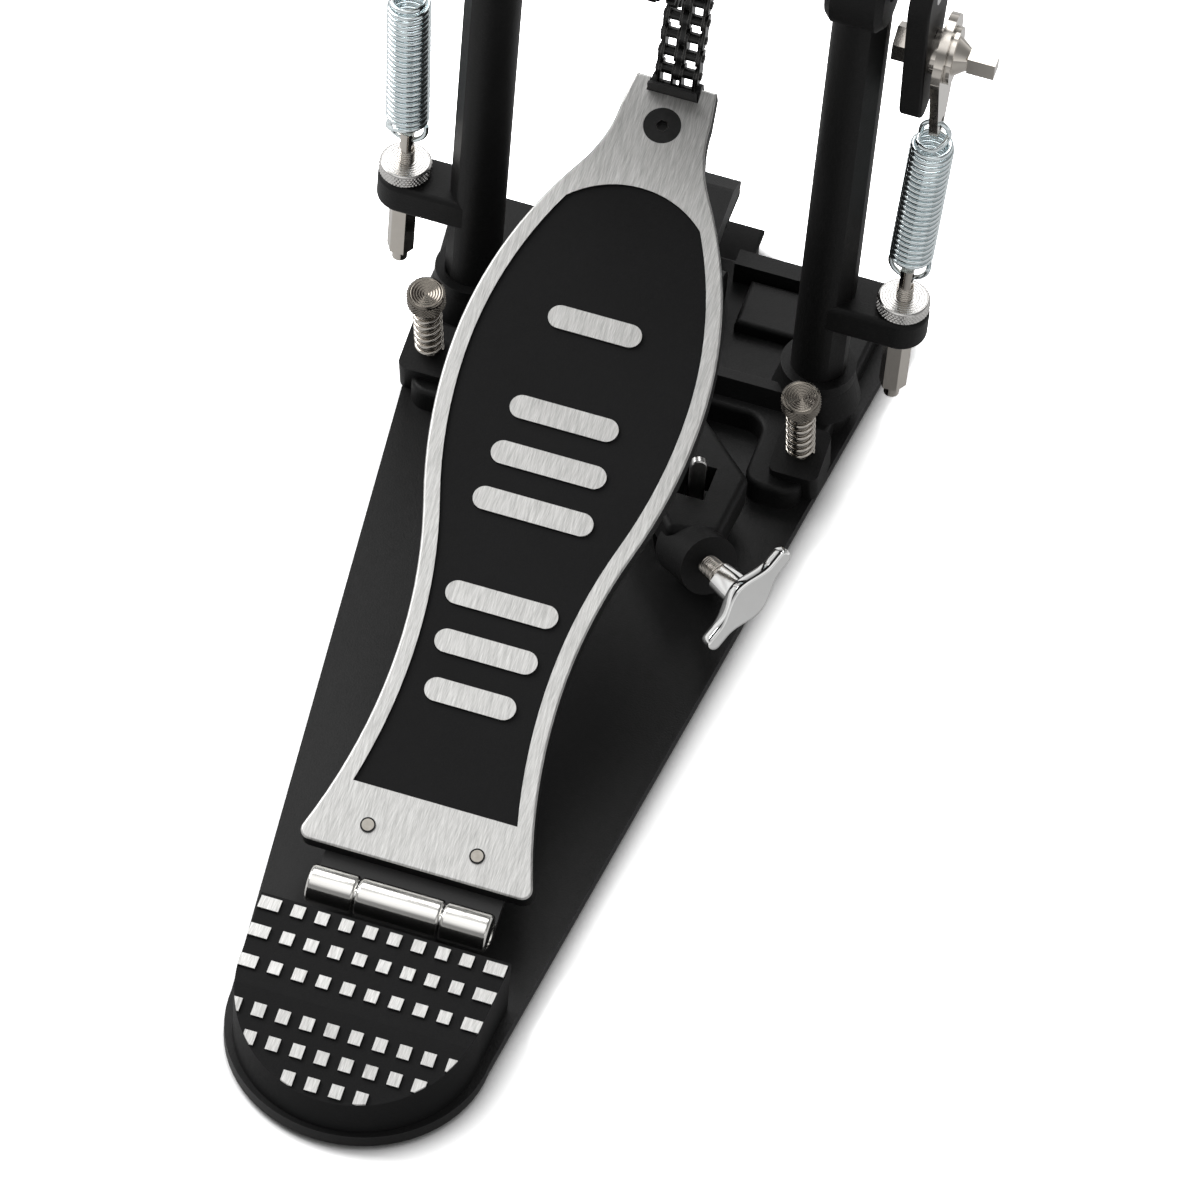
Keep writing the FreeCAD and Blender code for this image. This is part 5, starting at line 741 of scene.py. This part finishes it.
# %% [markdown]
# ## Wing grip
# The wing that tightens the clamp is a chromed casting: a lozenge with slim arms in front of a square hub. Its outline
# is a half-width that swells in the middle, and smaller copies of it at the front and the back round the edges.

# %% Wing grip on its shank
WING_LONG = Vector((0.3984, 0.7287, 0.5570))
WING = {"end": 18.0, "arm": 2.2, "middle": 5.6, "swell": 12.0, "back": 22.4, "front": 27.0, "edge": 0.8}
WING_ROUNDING = ((1.4, 0), (1, 0), (0.3, 0.3), (0, 1))
HUB_CORNER_POWER = 0.45
HUB_RINGS = ((3.4, 10.8), (4.6, 11.8), (5.0, 20.0), (5.0, 25.0))
SHANK_RINGS = ((2.0, -24.2), (2.0, -22.6), (2.8, -22.5), (2.8, 11.5))


def wing_ring(inset, height, steps=56):
    """The wing's outline, drawn in by an inset."""
    end, arm = WING["end"] - inset, WING["arm"] - inset
    side = []
    for k in range(steps + 1):
        across = -end * math.cos(math.pi * k / steps)
        beyond = max(abs(across) - (end - arm), 0)
        swell = 0.5 + 0.5 * math.cos(math.pi * min(abs(across) / WING["swell"], 1))
        half = math.sqrt(max(arm * arm - beyond * beyond, 0)) + (WING["middle"] - WING["arm"]) * swell
        side.append((across, half))
    return [(x, y, height) for x, y in side] + [(x, -y, height) for x, y in reversed(side[1:-1])]


def squarish_ring(half, height, count=48):
    """A square with full round corners."""
    ring = []
    for k in range(count):
        turn = 2 * math.pi * k / count
        spot = [math.copysign(abs(value) ** HUB_CORNER_POWER, value) * half
                for value in (math.cos(turn), math.sin(turn))]
        ring.append((*spot, height))
    return ring


wing_stand = Matrix((WING_LONG, WING_AXIS.cross(WING_LONG), WING_AXIS)).transposed().to_4x4()
wing_stand = Matrix.Translation(WING_ENTRY) @ wing_stand
rounding = [(inset * WING["edge"], depth * WING["edge"]) for inset, depth in WING_ROUNDING]
layers = [(inset, WING["back"] + depth) for inset, depth in rounding]
layers += [(inset, WING["front"] - depth) for inset, depth in reversed(rounding)]
grip = ringed_mesh("wing_grip", [wing_ring(*layer) for layer in layers], False, wing_stand, chrome)
hub = ringed_mesh("wing_hub", [squarish_ring(*spot) for spot in HUB_RINGS], False, wing_stand, chrome)
shank = ringed_mesh("wing_shank", [round_ring(*spot, 40) for spot in SHANK_RINGS], False, wing_stand, nickel)
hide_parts("wing_screw")
for piece in (grip, hub, shank):
    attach(piece, "wing_screw")
print(grip.name, hub.name, shank.name)

# %% [markdown]
# ## Guide tongue
# The tongue that keeps the clamp lever straight is a flat steel strip with a round top. It stands where its solid does,
# and the same rings make it.

# %% Guide tongue
TONGUE = {"half_width": 2.4, "half_depth": 1.2, "top": 36.0, "edge": 0.35, "turn": 21}
low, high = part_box("clamp_guide_post")
foot = Vector(((low.x + high.x) / 2, (low.y + high.y) / 2, low.z)) / MM


def tongue_ring(inset, depth):
    """A strip's outline with a round top, standing on its foot."""
    half, crown = TONGUE["half_width"] - inset, TONGUE["top"] - foot.z - TONGUE["half_width"]
    arc = [math.radians(degrees) for degrees in range(0, 181, 10)]
    top = [(half * math.cos(a), depth, crown + half * math.sin(a)) for a in arc]
    return [(half, depth, 0), *top, (-half, depth, 0)]


deep, edge = TONGUE["half_depth"], TONGUE["edge"]
layers = ((edge, -deep), (0, edge - deep), (0, deep - edge), (edge, deep))
stand = Matrix.Translation(foot) @ Matrix.Rotation(math.radians(TONGUE["turn"]), 4, "Z")
tongue = ringed_mesh("guide_tongue", [tongue_ring(*layer) for layer in layers], False, stand, guide_steel)
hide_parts("clamp_guide_post")
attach(tongue, "frame")
print(tongue.name, len(tongue.data.polygons), "faces")

# %% [markdown]
# ## Chain bracket
# The chain is held to the board's toe by a bracket whose face stands up through the slot, on the heel's side of the
# lowest links. It is drawn as an outline with rounded upper corners, in the board's own directions: across, up from its
# top face and back along its slope.

# %% Bracket face
BRACKET = {"half_width": 7.3, "foot": -7.5, "top": 6.2, "corner": 1.8, "back": 241.5, "front": 242.15}


def bracket_ring(along, steps=6):
    """The bracket's outline at a distance along the board, seen from the heel."""
    corner = BRACKET["corner"]
    turns = [math.pi / 2 * k / steps for k in range(steps + 1)]
    inner, shoulder = BRACKET["half_width"] - corner, BRACKET["top"] - corner
    side = [(BRACKET["half_width"], BRACKET["foot"])]
    side += [(inner + corner * math.cos(turn), shoulder + corner * math.sin(turn)) for turn in turns]
    return [(x, y, -along) for x, y in side] + [(-x, y, -along) for x, y in reversed(side)]


across, rising = Vector((1, 0, 0)), Vector(BOARD_UP)
stand = Matrix.Translation(BOARD_HEEL) @ Matrix((across, rising, across.cross(rising))).transposed().to_4x4()
rings = [bracket_ring(BRACKET["front"]), bracket_ring(BRACKET["back"])]
face = ringed_mesh("chain_bracket", rings, False, stand, FINISH_OF_SLOT[slot_of["chain_anchor"]])
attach(face, "footboard")
print(face.name, len(face.data.polygons), "faces")

# %% [markdown]
# ## Felt heads
# Pressed felt is never quite smooth: it has soft dents and a slightly pilled skin. A copy of the head's solid is
# merged, remeshed evenly and pushed in and out a little by noise, which keeps the real form.

# %% Felt beater heads
FELT_VOXEL = 0.9 * MM
FELT_MERGE = 0.001 * MM
FELT_DENT = 0.35 * MM
FELT_DENT_MM, FELT_PILL_MM = 7, 1.6
FELT_DENT_SHARE = 0.6

for side in SIDES:
    source = frame["nodes"][f"{side}_beater_head"]
    mesh = source.data.copy()
    work = bmesh.new()
    work.from_mesh(mesh)
    bmesh.ops.remove_doubles(work, verts=work.verts, dist=FELT_MERGE)
    work.to_mesh(mesh)
    work.free()
    head = bpy.data.objects.new(f"{side}_felt_head", mesh)
    scene.collection.objects.link(head)
    remesh = head.modifiers.new("even", "REMESH")
    remesh.mode = "VOXEL"
    remesh.voxel_size = FELT_VOXEL
    plain = bpy.data.meshes.new_from_object(head.evaluated_get(bpy.context.evaluated_depsgraph_get()))
    head.modifiers.clear()
    head.data = plain
    outward = [vertex.normal.copy() for vertex in plain.vertices]
    for vertex, normal in zip(plain.vertices, outward):
        place = vertex.co / MM
        dent, pill = noise.noise(place / FELT_DENT_MM), noise.noise(place / FELT_PILL_MM)
        vertex.co += normal * (dent * FELT_DENT_SHARE + pill * (1 - FELT_DENT_SHARE)) * FELT_DENT
    plain.shade_smooth()
    plain.materials.clear()
    plain.materials.append(felt_grey)
    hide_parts(f"{side}_beater_head")
    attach(head, f"{side}_beater")
    print(head.name, len(plain.polygons), "faces")

# %% [markdown]
# ## Lamps
# A large soft lamp from the upper left lights the pedal and leaves its shadow on the right. A weak one from the right
# keeps the dark sides readable.

# %% Soft lamps
LAMP_AIM = Vector((0, -0.1, 0.05))
LAMPS = {"key_lamp": ((-1.7, 0.3, 1.5), 1.6, 42), "fill_lamp": ((1.3, -1.2, 1.2), 1.0, 1.5)}

for name, (place, size_m, watts) in LAMPS.items():
    lamp = bpy.data.objects.new(name, bpy.data.lights.new(name, "AREA"))
    scene.collection.objects.link(lamp)
    lamp.data.shape = "DISK"
    lamp.data.size = size_m
    lamp.data.energy = watts
    heading = Vector(place) - LAMP_AIM
    lamp.matrix_world = Matrix.Translation(place) @ heading.to_track_quat("Z", "Y").to_matrix().to_4x4()
    print(name, watts, "W")

# %% [markdown]
# ## A room for the metals
# Bare metal looks like what it mirrors. Mirror rays meet a room that is bright at the horizon and dark overhead, with
# two soft panels in it: each is a direction, and its light rises between two angles from it. The camera itself sees
# plain white, and everything else is lit by an even grey.

# %% World
ROOM = ((0.0, grey(1.0)), (0.14, grey(0.75)), (0.45, grey(0.30)), (0.78, grey(0.18)), (0.96, grey(0.30)))
PANELS = (((-0.16, 0.60, 0.784), 0.94, 0.985, 3.4), ((-0.14, -0.24, 0.96), 0.80, 0.985, 1.05))
EVEN_LIGHT = 0.38

world = bpy.data.worlds.new("studio")
scene.world = world
world.use_nodes = True
sky = Tree(world.node_tree)
sky.nodes.nodes.clear()
ray = sky.node("ShaderNodeLightPath", output="Is Camera Ray")
seen = ray.math("MAXIMUM", ray, ray.output("Is Glossy Ray"))
seen = ray.math("MAXIMUM", seen, ray.output("Is Transmission Ray"))
towards = sky.node("ShaderNodeTexCoord", output="Generated")
height = sky.node("ShaderNodeSeparateXYZ", sockets={0: towards}).output("Z")
room = sky.node("ShaderNodeValToRGB", {"stops": ROOM}, {"Fac": height})
for heading, rim, core, bright in PANELS:
    facing = sky.node("ShaderNodeVectorMath", {"operation": "DOT_PRODUCT"}, {0: towards, 1: heading}, "Value")
    sockets = {"Value": facing, "From Min": rim, "From Max": core, "To Min": 0.0, "To Max": bright}
    room = sky.node("ShaderNodeMapRange", {"interpolation_type": "SMOOTHSTEP"}, sockets) + room
strength = sky.span(seen, EVEN_LIGHT, sky.span(ray, room, 1.0))
glow = sky.node("ShaderNodeBackground", sockets={"Color": (1, 1, 1, 1), "Strength": strength})
sky.node("ShaderNodeOutputWorld", sockets={"Surface": glow})
print("room with", len(PANELS), "panels")

# %% [markdown]
# ## Floor
# The floor is pale paper. For the camera it is lifted far above white, so that its lit part melts into the background
# and only the deepest shadow is left, and ambient occlusion darkens it where the pedal touches it. Other rays meet an
# ordinary pale grey, or the lift would light the pedal from below.

# %% Paper floor
FLOOR_HALF = 8.0
FLOOR_DROP = 0.2 * MM
FLOOR_TONE = 0.74
FLOOR_LIFT = 4.2
CONTACT_TONE = 0.2
CONTACT_REACH = 9 * MM

corners = [(x * FLOOR_HALF, y * FLOOR_HALF, -FLOOR_DROP) for x, y in ((-1, -1), (1, -1), (1, 1), (-1, 1))]
floor_mesh = bpy.data.meshes.new("floor")
floor_mesh.from_pydata(corners, [], [(0, 1, 2, 3)])
floor = bpy.data.objects.new("floor", floor_mesh)
scene.collection.objects.link(floor)
paper = Finish("studio_paper")
ray = paper.node("ShaderNodeLightPath", output="Is Camera Ray")
open_sky = paper.node("ShaderNodeAmbientOcclusion", {"samples": 8}, {"Distance": CONTACT_REACH}, "AO")
lifted = paper.mix(open_sky * open_sky, grey(CONTACT_TONE), grey(FLOOR_LIFT))
white = paper.mix(ray, grey(FLOOR_TONE), lifted)
sheet = paper.node("ShaderNodeBsdfDiffuse", sockets={"Color": white})
paper.node("ShaderNodeOutputMaterial", sockets={"Surface": sheet})
floor_mesh.materials.append(paper.material)
print("floor placed")

# %% [markdown]

# %% Done
print("dressed pieces done")
